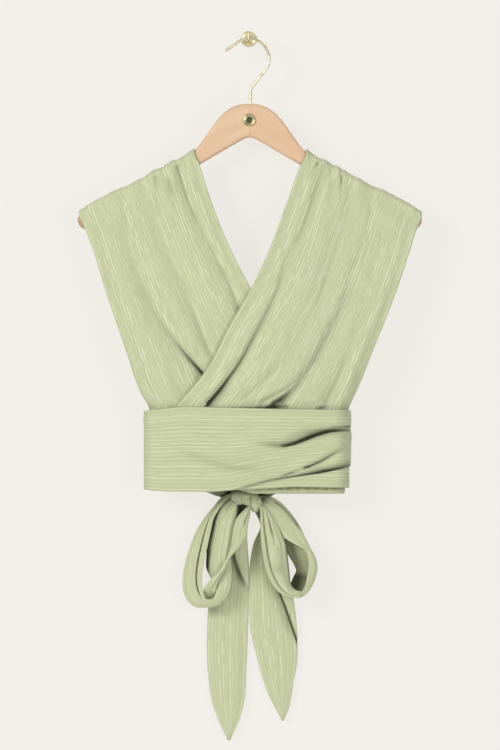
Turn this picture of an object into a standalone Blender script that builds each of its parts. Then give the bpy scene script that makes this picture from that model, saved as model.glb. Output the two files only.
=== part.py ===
"""Multiway wrap top on a wooden hanger that hangs on a small brass wall hook.

The origin is the middle of the wall hook's back face. +Z is up, +Y points into the wall, and the
front of the garment faces -Y. "Depth" is the distance out from the wall, so y is minus the depth.
Sizes, tables and functions are in millimetres, and each mesh is scaled to metres as it is made.
"""
import math
from collections import namedtuple

import bmesh
import bpy
import numpy as np

MM = 0.001

# Cloth and the space between neighbouring pieces
CLOTH = 1.2
SEAM_GAP = 0.4

# Wall hook
PLATE_RADIUS = 10.25
PLATE_DEPTH = 3.0
PIN_RADIUS = 1.25
PIN_TIP = 8.0
PIN_X = -0.5

# Hanger: a bent brass wire in a rounded beech board
WIRE_RADIUS = 1.85
HOOK_RADIUS = 25.3
HOOK_CENTRE = (0.5, -26.2)
HOOK_START = 125.0
HOOK_END = -38.0
HOOK_TIP_LENGTH = 20.0
HOOK_SLANT_LENGTH = 28.4
STEM_X = 1.9
BORE_DEPTH = 12.0
HANGER_DEPTH = 35.0
HANGER_X = 1.0
BOARD = 12.0
BOARD_ROUND = 4.8
BOARD_APEX = -125.0
BOARD_SLOPE = 0.585
TIP_CENTRE = (208.5, -233.5)
TIP_RADIUS = 11.8
DISC_CENTRE = (0.3, -105.5)
DISC_RADIUS = 8.0
DISC_THICK = 1.6

# Top edge of the board, outwards from its middle: distance out, height
BOARD_TOP = ((0, -84.4), (9, -85), (23, -89.3), (35, -98), (46.5, -112), (57, -127), (70, -143.7),
             (91, -157.7), (120, -171.7), (148, -188.2), (178, -200.7), (205, -215.4))

# Line of the shoulders along the top of the cloth: distance out from the hanger's middle, height
SHOULDER = ((70, -142), (91, -155), (120, -169), (148, -185.5), (178, -198), (205, -212.5), (221, -223))
ARM_CURVE = BOARD / 2 + SEAM_GAP

# The waist is a flat tube: straight in the middle, with round sides. Inside radius of each layer:
WAIST_X = -2.0
WAIST_STRAIGHT = 111.0
WAIST_BELLY = 3.0
SMOCKED_RADIUS = 12.2
LEFT_RADIUS = 14.8
RIGHT_RADIUS = 16.5
UNDER_RADIUS = 18.4
OVER_RADIUS = 20.0
SMOCKED_TOP = -482.0
SMOCKED_HEM = ((-134, -578.5), (-12, -579), (6, -583.6), (131, -583.6))
SMOCKED_HEM_BACK = -580.0
SMOCKED_RIBS = 120
RIB_HEIGHT = 0.6
TUCK = -489.0
WAIST_LINE = -474.0

# Body above the waist: height, straight half width, share of the waist's rounding, roundness of edge
Section = namedtuple("Section", "height straight swell edge")
SECTIONS = (Section(-492, WAIST_STRAIGHT, 1.0, 1.0),
            Section(-474, WAIST_STRAIGHT, 1.0, 1.0),
            Section(-450, 122, 1.0, 0.85),
            Section(-414, 137, 0.95, 0.7),
            Section(-327, 172, 0.6, 0.5),
            Section(-255, 200, 0.2, 0.0),
            Section(-130, 212, 0.0, 0.0))

# Edges of the two panels, from the shoulder down to the tuck behind the wraps: x, height
LEFT_INNER = ((-66, -156.7), (-43.9, -217.3), (-16, -286.5), (1.3, -319.2), (36, -392), (84, TUCK))
LEFT_OUTER = ((-208.5, -248), (-196.7, -280.6), (-182.1, -327.6), (-152.3, -414), (-140, -451),
              (-127, -474), (-125, TUCK))
RIGHT_INNER = ((66, -163.7), (50.6, -205.3), (19.5, -286.2), (2.4, -321.9), (-30.8, -370.8),
               (-62.2, -425.7), (-95, -472), (-104, TUCK))
RIGHT_OUTER = ((214.3, -245.9), (205.7, -273.8), (190.2, -320.4), (154.9, -410.1), (138, -452),
               (127, -474), (124.5, TUCK))
LEFT_NECK = -71.4
LEFT_ARMHOLE = -217.3
RIGHT_NECK = 73.2
RIGHT_ARMHOLE = 221.0
BACK_NECK_SHIFT = 3.0
BACK_SIDE_SHIFT = 1.5
RIGHT_LIFT = 4.0
SLACK_AT_SHOULDER = 1.5
SLACK_AT_WAIST = 5.0

# Folds: path (x, height), rise of the cloth at its start, middle and end (a trough is negative),
# and how far it reaches on the side to the left of the path and on the side to its right
Fold = namedtuple("Fold", "path start middle end left right")
RIGHT_FOLDS = (
    Fold(((93, -163), (72, -232), (34, -324), (-15, -418), (-54, -467)), -1.5, -3.0, -5.5, 11, 5),
    Fold(((159, -198), (133, -285), (100, -379), (63, -440), (20, -467)), -1.5, -3.5, -7.0, 13, 6),
    Fold(((133, -190), (122, -230), (85, -344), (44, -410), (-11, -461)), -1.5, -2.0, -3.0, 6, 8),
    Fold(((150, -336), (129, -387), (110, -438), (91, -473)), -0.5, -1.5, -2.5, 8, 8),
    Fold(((190, -225), (175, -300), (140, -400), (118, -470)), 0.5, 1.5, 1.0, 14, 14),
)
LEFT_FOLDS = (
    Fold(((-92, -163), (-68, -239), (-31, -317), (0, -380)), -1.5, -2.0, -1.0, 6, 8),
    Fold(((-157, -246), (-134, -320), (-94, -388), (-60, -432)), -1.5, -2.5, -4.5, 5, 10),
    Fold(((-120, -253), (-103, -310), (-74, -357), (-50, -400)), -1.0, -1.5, -1.5, 7, 7),
    Fold(((-100, -425), (-90, -455)), -2.0, -2.5, -3.0, 12, 10),
    Fold(((-180, -260), (-160, -340), (-128, -420)), 0.5, 1.5, 0.8, 13, 13),
)
BACK_FOLDS = (
    Fold(((-150, -210), (-118, -310), (-70, -400), (-20, -462)), -1.5, -2.5, -3.5, 10, 10),
    Fold(((-110, -185), (-78, -280), (-30, -372), (30, -455)), -1.2, -2.0, -2.5, 8, 8),
    Fold(((-180, -240), (-150, -330), (-112, -440)), 0.8, 1.5, 1.0, 14, 14),
)
# Small gathers over each shoulder: distance out from the hanger's middle, height, half width
GATHERS = ((80, 1.1, 4), (92, 1.6, 5), (106, 1.3, 5), (122, 1.5, 6), (140, 0.9, 7), (168, 0.6, 12))

# Hems of the over wrap: x, height
WRAP_TOP = ((-134, -478), (-84, -472.3), (-15, -474), (44, -475.5), (131, -477))
WRAP_HEM = ((-134, -578), (-110, -580.5), (-46, -581), (-10, -577), (10, -569), (44, -563.5),
            (88, -557.5), (131, -545.5))
WRAP_HEM_BACK = -577.5
UNDER_HEM = -577.5
UNDER_TOP = -480.0
WRAP_FOLDS = (
    Fold(((133, -492), (97, -494.5), (66, -499), (40, -506)), 2.2, 2.0, 0.4, 5.5, 12),
    Fold(((133, -507), (94, -515.5), (66, -525), (48, -528), (20, -524)), 3.4, 4.6, 1.4, 11, 3.5),
    Fold(((133, -513), (112, -526.5), (79, -542), (45, -552), (10, -560)), 3.0, 3.2, 1.0, 3.2, 9),
    Fold(((133, -524), (110, -548), (90, -556)), 2.6, 2.2, 1.6, 4, 6),
    Fold(((-100, -512), (-60, -527), (0, -537), (60, -533)), 0.8, 2.0, 1.0, 9, 9),
    Fold(((-120, -548), (-70, -562), (-10, -565)), 0.8, 1.6, 0.6, 8, 8),
    Fold(((-120, -488), (-40, -490), (40, -488)), 0.6, 1.2, 0.8, 9, 9),
)
WRAP_BACK_FOLDS = (
    Fold(((-128, -487), (-60, -496), (0, -512)), 1.6, 1.4, 0.4, 5, 7),
    Fold(((128, -487), (60, -494), (0, -504)), 1.6, 1.4, 0.4, 5, 7),
)
WRAP_ROOM = 5.5
UNDER_ROOM = 0.2

# The knot, and the ribbons that meet it. A station of a ribbon: first edge x, depth, height,
# second edge x, depth, height, and the bulge of the cloth between them
KNOT_CENTRE = (-3.5, 19.0, -597.2)
KNOT_HALF = (20.0, 10.0, 12.6)
KNOT_GAP = 0.75
Station = namedtuple("Station", "x1 d1 z1 x2 d2 z2 bulge")
TIE_LEFT = (Station(-121, 14.6, -506, -121, 14.6, -566, -1),
            Station(-105, 12.6, -518, -105, 12.6, -570, -2),
            Station(-85, 11.8, -530, -85, 11.8, -574, -2.5), Station(-60, 10.8, -548, -60, 10.4, -580, -3),
            Station(-42, 10.2, -564, -44, 9.5, -585, -3), Station(-31, 9.6, -579, -35, 9.5, -588, -2),
            Station(-22, 13, -589, -23, 12, -597, 0))
TIE_RIGHT = (Station(117, 14.6, -508, 117, 14.6, -562, -1), Station(101, 12.6, -518, 101, 12.6, -566, -2),
             Station(81, 11.8, -530, 81, 11.8, -571, -2.5), Station(55, 10.8, -548, 55, 10.4, -577, -3),
             Station(34, 10.2, -563, 36, 9.5, -583, -3), Station(23, 9.6, -579, 28, 9.5, -587, -2),
             Station(14, 11, -590, 15, 11, -597, 0))
LOOP_LEFT = (Station(-24, 19, -588, -22, 23, -599, 0), Station(-46, 16, -605, -33, 24, -610, 2),
             Station(-67, 15, -630, -46, 26, -637, 3), Station(-81, 16, -662, -52, 28, -668, 4),
             Station(-85, 18, -690, -57, 30, -697, 4), Station(-80, 20, -716, -57, 31, -711, 4),
             Station(-65, 24, -729, -53, 31, -718, 3), Station(-47, 29, -728, -46, 31, -715, 2),
             Station(-32, 34, -718, -44, 32, -705, 1), Station(-24, 37, -703, -46, 32, -692, 2),
             Station(-22, 38, -680, -49, 32, -672, 4), Station(-15, 37, -655, -45, 31, -643, 5),
             Station(-4, 34, -633, -38, 29, -621, 4), Station(0, 29, -617, -26, 27, -609, 2),
             Station(-3, 26, -607, -16, 26, -605, 0))
LOOP_RIGHT = (Station(16, 17, -588, 16, 21, -597, 0), Station(33, 15, -590, 27, 21, -601, 1),
              Station(50, 15, -599, 37, 23, -615, 3), Station(63, 16, -622, 46, 26, -638, 3),
              Station(77, 17, -647, 60, 29, -655, 3), Station(85, 19, -676, 62, 31, -672, 3),
              Station(82, 22, -693, 61, 32, -686, 3), Station(74, 26, -708, 58, 33, -698, 2),
              Station(61, 31, -716, 53, 34, -702, 1), Station(47, 35, -714, 50, 34, -699, 1),
              Station(34, 38, -705, 50, 34, -690, 2), Station(22, 39, -682, 49, 33, -672, 4),
              Station(17, 37, -655, 46, 31, -647, 5), Station(16, 33, -630, 36, 28, -628, 3),
              Station(17, 30, -612, 27, 28, -611, 1), Station(14, 30, -603, 18, 28, -601, 0))
TAIL_LEFT = (Station(-12, 16, -607, -3, 15, -609, 0), Station(-26, 11, -638, -2.5, 11, -638, 2),
             Station(-44, 9, -684, -1.5, 9, -684, 3), Station(-52, 8, -725, -1, 8, -725, 3),
             Station(-54, 7, -766, -1.5, 7, -766, 3), Station(-53, 7, -812, -3.5, 7, -812, 3),
             Station(-46.5, 8, -853, -6, 8, -853, 2), Station(-36.5, 8, -881, -14, 8, -881, 1),
             Station(-28, 8, -898, -23, 8, -898.5, 0))
TAIL_RIGHT = (Station(8, 16, -607, 14, 15, -603, 0), Station(15, 11, -626, 29, 11, -628, 1),
              Station(5, 9, -649, 40, 9, -655, 3), Station(2, 8, -678, 49, 8, -684, 3),
              Station(2.5, 7, -725, 59, 7, -729, 4), Station(4, 7, -758, 61, 7, -766, 4),
              Station(10, 7, -794, 62, 7, -800, 3), Station(17, 8, -820, 58, 8, -828, 2),
              Station(26, 8, -845, 51, 8, -858, 1), Station(40, 8, -870, 45, 8, -875, 0))

# Grid counts
PANEL_FRONT_ROWS = 15
PANEL_BACK_ROWS = 9
TUCK_ROWS = (0.962, 1.0)
ARM_STEPS = 5
WRAP_ROWS = 12
RIBBON_COLUMNS = 4

COLOURS = {"cloth": (0.58, 0.66, 0.40, 1), "beech": (0.76, 0.53, 0.33, 1),
           "brass": (0.72, 0.62, 0.38, 1)}


def smooth_path(points, fractions):
    """Points at the given fractions of the length of a smooth curve through the given points."""
    points = np.array(points, float)
    fractions = np.asarray(fractions, float)
    steps = np.linalg.norm(np.diff(points, axis=0), axis=1)
    along = np.concatenate(([0.0], np.cumsum(steps))) / steps.sum()
    slopes = np.gradient(points, along, axis=0)
    cell = np.clip(np.searchsorted(along, fractions, side="right") - 1, 0, len(along) - 2)
    width = (along[cell + 1] - along[cell])[:, None]
    t = (fractions[:, None] - along[cell][:, None]) / width
    start = (2 * t**3 - 3 * t**2 + 1) * points[cell] + (t**3 - 2 * t**2 + t) * width * slopes[cell]
    end = (3 * t**2 - 2 * t**3) * points[cell + 1] + (t**3 - t**2) * width * slopes[cell + 1]
    return start + end


def ramp(value, low, high):
    """A smooth step from 0 at low to 1 at high."""
    t = np.clip((value - low) / (high - low), 0.0, 1.0)
    return t * t * (3 - 2 * t)


def read_table(table, value, column):
    """A column of a table whose first column is the position, read by straight lines between rows."""
    rows = sorted(table, key=lambda row: row[0])
    return np.interp(value, [row[0] for row in rows], [row[column] for row in rows])


def fold_relief(x, z, folds):
    """Rise of the cloth: each fold is highest on its path and fades with the distance from it."""
    relief = np.zeros_like(x)
    fractions = np.linspace(0, 1, 40)
    for fold in folds:
        path = smooth_path(fold.path, fractions)
        gap_x = x[..., None] - path[:, 0]
        gap_z = z[..., None] - path[:, 1]
        away = np.hypot(gap_x, gap_z)
        nearest = np.argmin(away, axis=-1)
        heading = np.gradient(path, axis=0)[nearest]
        offset_x = np.take_along_axis(gap_x, nearest[..., None], -1)[..., 0]
        offset_z = np.take_along_axis(gap_z, nearest[..., None], -1)[..., 0]
        on_left = heading[..., 0] * offset_z - heading[..., 1] * offset_x > 0
        reach = np.where(on_left, fold.left, fold.right)
        rise = np.interp(fractions[nearest], (0, 0.5, 1), (fold.start, fold.middle, fold.end))
        relief += rise * np.exp(-(away.min(axis=-1) / reach) ** 2)
    return relief


def body_depth(x, z, radius):
    """Depth in front of the hanger's plane of a flat tube whose rounding grows towards the waist."""
    straight = read_table(SECTIONS, z, 1)
    swell = read_table(SECTIONS, z, 2)
    edge = read_table(SECTIONS, z, 3)
    corner = ARM_CURVE + (radius - ARM_CURVE) * swell
    out = np.abs(x - WAIST_X * swell - HANGER_X * (1 - swell))
    turn = np.clip((out - straight) / corner, 0.0, 0.995) * edge
    belly = WAIST_BELLY * swell * np.clip(1 - (out / straight) ** 2, 0.0, 1.0)
    return corner * np.sqrt(1 - turn**2) + belly


def add_object(name, mesh, colour, collection, metallic=0.0, roughness=0.8):
    """Object for a finished mesh, with its own material."""
    material = bpy.data.materials.new(name)
    material.use_nodes = True
    shader = material.node_tree.nodes["Principled BSDF"]
    shader.inputs["Base Color"].default_value = COLOURS[colour]
    shader.inputs["Metallic"].default_value = metallic
    shader.inputs["Roughness"].default_value = roughness
    mesh.materials.append(material)
    piece = bpy.data.objects.new(name, mesh)
    collection.objects.link(piece)
    return piece


def grid_mesh(name, grid, closed=False, flip=False):
    """Mesh of quads over rows and columns of points in millimetres, with columns closed to a ring."""
    rows, columns = grid.shape[:2]
    mesh = bpy.data.meshes.new(name)
    numbers = np.arange(rows * columns).reshape(rows, columns)
    if closed:
        numbers = np.concatenate((numbers, numbers[:, :1]), axis=1)
    corners = (numbers[:-1, :-1], numbers[:-1, 1:], numbers[1:, 1:], numbers[1:, :-1])
    faces = np.stack(corners, axis=-1).reshape(-1, 4)
    if flip:
        faces = faces[:, ::-1]
    mesh.from_pydata((grid.reshape(-1, 3) * MM).tolist(), [], faces.tolist())
    mesh.shade_smooth()
    return mesh


def add_cloth(name, grid, collection, closed=False, flip=False):
    """Cloth of even thickness, laid on the outer side of a grid of points."""
    piece = add_object(name, grid_mesh(name, grid, closed, flip), "cloth", collection)
    wall = piece.modifiers.new("Cloth thickness", "SOLIDIFY")
    wall.thickness = CLOTH * MM
    wall.offset = 1.0
    return piece


def edge_from_shoulder(edge, neck_x):
    """An edge of a panel, starting where the cloth leaves the arm below the shoulder line."""
    top = read_table(SHOULDER, abs(neck_x - HANGER_X), 1) - ARM_CURVE - CLOTH
    return ((neck_x, float(top)),) + edge


def panel_face(inner, outer, across, down, neck_shift=0.0, side_shift=0.0):
    """Patch of x and height between two edges: straight blends across and down, less the corners."""
    s = across[None, :, None]
    t = down[:, None, None]
    easing = ramp(down, 0.0, 0.15)[:, None]
    inner_line = smooth_path(inner, down) + easing * (neck_shift, 0.0)
    outer_line = smooth_path(outer, down) + easing * (side_shift, 0.0)
    top_x = inner_line[0, 0] + (outer_line[0, 0] - inner_line[0, 0]) * across
    top_z = read_table(SHOULDER, np.abs(top_x - HANGER_X), 1) - ARM_CURVE - CLOTH
    top = np.stack((top_x, top_z), axis=-1)[None]
    bottom = inner_line[-1] + (outer_line[-1] - inner_line[-1]) * across[:, None]
    sides = (1 - s) * inner_line[:, None] + s * outer_line[:, None]
    ends = (1 - t) * top + t * bottom[None]
    corners = ((1 - s) * (1 - t) * inner_line[0] + s * (1 - t) * outer_line[0]
               + (1 - s) * t * inner_line[-1] + s * t * outer_line[-1])
    return sides + ends - corners


def slack_rise(x, z, folds, lift=0.0):
    """Rise of a panel off the flat tube: it hangs a little full, and is flat again at the waist."""
    full = SLACK_AT_SHOULDER + (SLACK_AT_WAIST - SLACK_AT_SHOULDER) * ramp(z, -250, -420)
    settled = ramp(z, WAIST_LINE - 2, WAIST_LINE + 16)
    return settled * np.maximum(fold_relief(x, z, folds) + full + lift, 0.0)


def left_rise(x, z, folds):
    """Depth of the left panel's inner side in front of the hanger's plane."""
    return body_depth(x, z, LEFT_RADIUS) + slack_rise(x, z, folds)


def right_rise(x, z, folds, under_folds):
    """Depth of the right panel's inner side, which lies clear of the left panel under it."""
    crossing = ramp(x, 90, 60) * ramp(z, -190, -250)
    own = body_depth(x, z, RIGHT_RADIUS) + slack_rise(x, z, folds, RIGHT_LIFT * crossing)
    under = left_rise(x, z, under_folds) + CLOTH + 2 * SEAM_GAP
    above_waist = ramp(z, WAIST_LINE - 2, WAIST_LINE + 4)
    return np.where(crossing > 0, np.maximum(own, under * above_waist), own)


def mirrored(folds):
    """The same folds on the other side of the body."""
    return tuple(fold._replace(path=tuple((-x, z) for x, z in fold.path), left=fold.right,
                               right=fold.left) for fold in folds)


def panel_grid(inner, outer, neck_x, armhole_x, rise, back_rise):
    """One panel from its tuck up the front, over the arm, and down the back to its tuck."""
    side = math.copysign(1.0, armhole_x)
    across = np.concatenate((np.linspace(0, 0.9, 15), (0.925, 0.95, 0.975, 1.0)))
    inner = edge_from_shoulder(inner, neck_x)
    outer = edge_from_shoulder(outer, armhole_x)
    down = np.concatenate((np.linspace(0, 0.93, PANEL_FRONT_ROWS) ** 0.9, TUCK_ROWS))
    front = panel_face(inner, outer, across, down)
    x, z = front[..., 0], front[..., 1]
    gathers = sum(height * np.exp(-((np.abs(x - HANGER_X) - out) / width) ** 2)
                  for out, height, width in GATHERS)
    gathers = gathers * ramp(z, z[0] - 70, z[0])
    settle = ramp(z, z[0], z[0] - 25)
    depth = HANGER_DEPTH + ARM_CURVE + (rise(x, z) - ARM_CURVE) * settle + gathers
    front = np.stack((x, -depth, z), axis=-1)[::-1]
    turns = np.linspace(0, math.pi, ARM_STEPS + 2)[1:-1, None]
    radius = ARM_CURVE + gathers[0]
    over = np.stack((np.broadcast_to(x[0], (ARM_STEPS, len(across))),
                     -HANGER_DEPTH - radius * np.cos(turns), z[0] + radius * np.sin(turns)), axis=-1)
    down = np.concatenate((np.linspace(0, 0.93, PANEL_BACK_ROWS) ** 0.9, TUCK_ROWS))
    back = panel_face(inner, outer, across, down, side * BACK_NECK_SHIFT, -side * BACK_SIDE_SHIFT)
    x, z = back[..., 0], back[..., 1]
    fade = gathers[0] * ramp(z, z[0] - 70, z[0])
    settle = ramp(z, z[0], z[0] - 25)
    depth = HANGER_DEPTH - ARM_CURVE - (back_rise(x, z) - ARM_CURVE) * settle - fade
    back = np.stack((x, -depth, z), axis=-1)
    return np.concatenate((front, over, back))


def waist_outline(radius, front_steps, side_steps, back_steps):
    """Points round the waist tube from its front left corner: x, depth, and outward direction."""
    front_x = np.linspace(-WAIST_STRAIGHT, WAIST_STRAIGHT, front_steps, endpoint=False)
    back_x = np.linspace(WAIST_STRAIGHT, -WAIST_STRAIGHT, back_steps, endpoint=False)
    right = np.linspace(math.pi / 2, -math.pi / 2, side_steps, endpoint=False)
    left = np.linspace(-math.pi / 2, -3 * math.pi / 2, side_steps, endpoint=False)
    centre = np.concatenate((front_x, np.full(side_steps, WAIST_STRAIGHT), back_x,
                             np.full(side_steps, -WAIST_STRAIGHT)))
    angle = np.concatenate((np.full(front_steps, math.pi / 2), right,
                            np.full(back_steps, -math.pi / 2), left))
    out_x, out_d = np.cos(angle), np.sin(angle)
    belly = WAIST_BELLY * np.clip(1 - (centre / WAIST_STRAIGHT) ** 2, 0, 1) * np.sign(out_d)
    x = WAIST_X + centre + radius * out_x
    depth = HANGER_DEPTH + radius * out_d + belly
    return x, depth, out_x, out_d


def wrap_grid(radius, top, hem, back_hem, folds, back_folds, room, rows):
    """A wrap round the waist, as rows from its hem to its top edge, raised by its folds."""
    x, depth, out_x, out_d = waist_outline(radius, 26, 10, 14)
    front = ramp(out_d, -0.5, 0.5)
    hem_line = front * read_table(hem, x, 1) + (1 - front) * back_hem
    top_line = read_table(top, x, 1)
    share = np.linspace(0, 1, rows)[:, None]
    z = hem_line + (top_line - hem_line) * share
    x = np.broadcast_to(x, z.shape)
    rise = front * fold_relief(x, z, folds) + (1 - front) * fold_relief(x, z, back_folds)
    rise = np.clip(rise, 0.0, room * (0.35 + 0.65 * front))
    return np.stack((x + rise * out_x, -(depth + rise * out_d), z), axis=-1)


def on_knot(point, clearance):
    """The point carried straight out from the knot's middle until it just clears the knot."""
    centre, half = np.array(KNOT_CENTRE), np.array(KNOT_HALF) + clearance
    arm = (point - centre) / half
    return centre + arm / np.linalg.norm(arm, axis=-1, keepdims=True) * half


def ribbon_grid(stations, rows, last_on_knot=True, first_on_knot=False):
    """A ribbon through its stations: both edges are smooth curves, with a bulge between them."""
    table = np.array(stations)
    line = smooth_path(table, np.linspace(0, 1, rows))
    across = np.linspace(0, 1, RIBBON_COLUMNS + 1)
    first, second, bulge = line[:, None, 0:3], line[:, None, 3:6], line[:, None, 6:7]
    points = first + (second - first) * across[None, :, None]
    points[..., 1:2] += bulge * np.sin(math.pi * across)[None, :, None]
    if first_on_knot:
        points[0] = on_knot(points[0], KNOT_GAP)
    if last_on_knot:
        points[-1] = on_knot(points[-1], KNOT_GAP)
    return points * (1, -1, 1)


def make_panels(collection):
    """The two strips of the body, the left one under the right one, on the front and the back."""
    back_left = BACK_FOLDS
    back_right = mirrored(BACK_FOLDS)
    left = panel_grid(LEFT_INNER, LEFT_OUTER, LEFT_NECK, LEFT_ARMHOLE,
                      lambda x, z: left_rise(x, z, LEFT_FOLDS),
                      lambda x, z: left_rise(x, z, back_left))
    right = panel_grid(RIGHT_INNER, RIGHT_OUTER, RIGHT_NECK, RIGHT_ARMHOLE,
                       lambda x, z: right_rise(x, z, RIGHT_FOLDS, LEFT_FOLDS),
                       lambda x, z: right_rise(x, z, back_right, back_left))
    add_cloth("left_panel", left, collection, flip=True)
    add_cloth("right_panel", right, collection)


def make_waist(collection):
    """The shirred band, and the two layers of cloth that are wound round it."""
    steps = 2 * SMOCKED_RIBS
    straight = round(steps * 0.42)
    side = steps // 2 - straight
    inner = waist_outline(SMOCKED_RADIUS, straight, side, straight)
    outer = waist_outline(SMOCKED_RADIUS + CLOTH, straight, side, straight)
    ribs = RIB_HEIGHT * (np.arange(steps) % 2)
    front = ramp(inner[3], -0.5, 0.5)
    hem = front * read_table(SMOCKED_HEM, inner[0], 1) + (1 - front) * SMOCKED_HEM_BACK
    inside = [np.stack((inner[0], -inner[1], z), -1) for z in (hem, np.full(steps, SMOCKED_TOP))]
    outer_x, outer_y = outer[0] + ribs * outer[2], -(outer[1] + ribs * outer[3])
    outside = [np.stack((outer_x, outer_y, z), -1) for z in (np.full(steps, SMOCKED_TOP), hem)]
    shell = np.stack(inside + outside + inside[:1])
    mesh = grid_mesh("smocked_band", shell, closed=True, flip=True)
    weld_mesh(mesh)
    add_object("smocked_band", mesh, "cloth", collection)
    under = wrap_grid(UNDER_RADIUS, ((-134, UNDER_TOP), (131, UNDER_TOP)),
                      ((-134, UNDER_HEM), (131, UNDER_HEM)), UNDER_HEM, (), (), UNDER_ROOM, 3)
    add_cloth("under_wrap", under, collection, closed=True)
    over = wrap_grid(OVER_RADIUS, WRAP_TOP, WRAP_HEM, WRAP_HEM_BACK, WRAP_FOLDS,
                     WRAP_BACK_FOLDS, WRAP_ROOM, WRAP_ROWS)
    add_cloth("over_wrap", over, collection, closed=True)


def weld_mesh(mesh):
    """Join points that lie on each other."""
    work = bmesh.new()
    work.from_mesh(mesh)
    bmesh.ops.remove_doubles(work, verts=work.verts, dist=0.01 * MM)
    work.to_mesh(mesh)
    work.free()


def make_bow(collection):
    """The ties across the back, the knot under the hem, its two loops and its two tails."""
    add_cloth("tie_left", ribbon_grid(TIE_LEFT, 14), collection, flip=True)
    add_cloth("tie_right", ribbon_grid(TIE_RIGHT, 14), collection)
    add_cloth("loop_left", ribbon_grid(LOOP_LEFT, 30, first_on_knot=True), collection)
    add_cloth("loop_right", ribbon_grid(LOOP_RIGHT, 32, first_on_knot=True), collection, flip=True)
    add_cloth("tail_left", ribbon_grid(TAIL_LEFT[::-1], 16), collection, flip=True)
    add_cloth("tail_right", ribbon_grid(TAIL_RIGHT[::-1], 16), collection, flip=True)
    work = bmesh.new()
    bmesh.ops.create_uvsphere(work, u_segments=20, v_segments=12, radius=1.0)
    for vert in work.verts:
        x, y, z = vert.co
        crease = 1 - 0.06 * math.exp(-((x - 0.25 * z) / 0.12) ** 2)
        vert.co = ((KNOT_CENTRE[0] + KNOT_HALF[0] * x * crease) * MM,
                   (-KNOT_CENTRE[1] + KNOT_HALF[1] * y * crease) * MM,
                   (KNOT_CENTRE[2] + KNOT_HALF[2] * z * crease) * MM)
    mesh = bpy.data.meshes.new("knot")
    work.to_mesh(mesh)
    work.free()
    mesh.shade_smooth()
    add_object("knot", mesh, "cloth", collection)


def wire_object(name, points, radius, collection):
    """Round wire through a list of points, with closed ends."""
    curve = bpy.data.curves.new(name, "CURVE")
    curve.dimensions = "3D"
    curve.bevel_depth = radius * MM
    curve.bevel_resolution = 2
    curve.use_fill_caps = True
    spline = curve.splines.new("POLY")
    spline.points.add(len(points) - 1)
    for point, (x, depth, z) in zip(spline.points, points):
        point.co = (x * MM, -depth * MM, z * MM, 1)
    piece = bpy.data.objects.new(name, curve)
    collection.objects.link(piece)
    return piece


def curve_to_mesh(piece):
    """The mesh of a curve object, with its caps welded on."""
    graph = bpy.context.evaluated_depsgraph_get()
    mesh = bpy.data.meshes.new_from_object(piece.evaluated_get(graph))
    weld_mesh(mesh)
    bpy.data.objects.remove(piece)
    return mesh


def merge_flat_faces(mesh):
    """Make one face of the triangles that lie in one plane, so that a bevel follows their outline."""
    work = bmesh.new()
    work.from_mesh(mesh)
    bmesh.ops.dissolve_limit(work, angle_limit=math.radians(1), verts=work.verts, edges=work.edges)
    work.to_mesh(mesh)
    work.free()


def cylinder_mesh(name, radius, length, sides):
    """Cylinder along the depth, from the wall side at depth 0 to its length."""
    work = bmesh.new()
    bmesh.ops.create_cone(work, cap_ends=True, segments=sides, radius1=radius * MM,
                          radius2=radius * MM, depth=length * MM)
    for vert in work.verts:
        x, y, z = vert.co
        vert.co = (x, -(z + length * MM / 2), y)
    mesh = bpy.data.meshes.new(name)
    work.to_mesh(mesh)
    work.free()
    return mesh


def add_boolean(piece, other, operation):
    """Join the other object to the piece, or cut it out of the piece."""
    other.hide_render = True
    other.display_type = "WIRE"
    change = piece.modifiers.new(operation.title(), "BOOLEAN")
    change.operation = operation
    change.object = other


def make_wall_hook(collection, cutters):
    """Round plate and the bent pin that the hanger's wire hangs on, cast in one."""
    plate = add_object("wall_hook", cylinder_mesh("wall_hook", PLATE_RADIUS, PLATE_DEPTH, 32),
                       "brass", collection, metallic=1.0, roughness=0.35)
    wire_bottom = HOOK_CENTRE[1] + HOOK_RADIUS - WIRE_RADIUS
    under_wire = wire_bottom - 0.35 - PIN_RADIUS
    in_front = HANGER_DEPTH + WIRE_RADIUS + 0.6 + PIN_RADIUS
    bend = 3.0
    arc = [(PIN_X, in_front - bend + bend * math.sin(a), under_wire + bend - bend * math.cos(a))
           for a in np.linspace(0, math.pi / 2, 5)]
    points = [(PIN_X, PLATE_DEPTH / 2, under_wire)] + arc + [(PIN_X, in_front, PIN_TIP)]
    pin = wire_object("pin", points, PIN_RADIUS, cutters)
    joined = bpy.data.objects.new("pin_solid", curve_to_mesh(pin))
    cutters.objects.link(joined)
    add_boolean(plate, joined, "UNION")


def board_outline():
    """Outline of the hanger board: top edge, round tips and a straight edge below, on both sides."""
    top = smooth_path(BOARD_TOP, np.linspace(0, 1, 36))
    slope = math.atan(BOARD_SLOPE)
    turns = np.linspace(math.pi / 2 - slope, -math.pi / 2 - slope, 9)
    tip = np.stack((TIP_CENTRE[0] + TIP_RADIUS * np.cos(turns),
                    TIP_CENTRE[1] + TIP_RADIUS * np.sin(turns)), -1)
    lower_out = np.array((140.0, 70.0, 12.0))
    lower = np.stack((lower_out, BOARD_APEX - BOARD_SLOPE * lower_out), -1)
    half = np.concatenate((top, tip, lower))
    middle = np.array([(0.0, BOARD_APEX - 3.0)])
    other = half[:0:-1] * (-1, 1)
    return np.concatenate((half, middle, other)) + (HANGER_X, 0.0)


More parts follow.
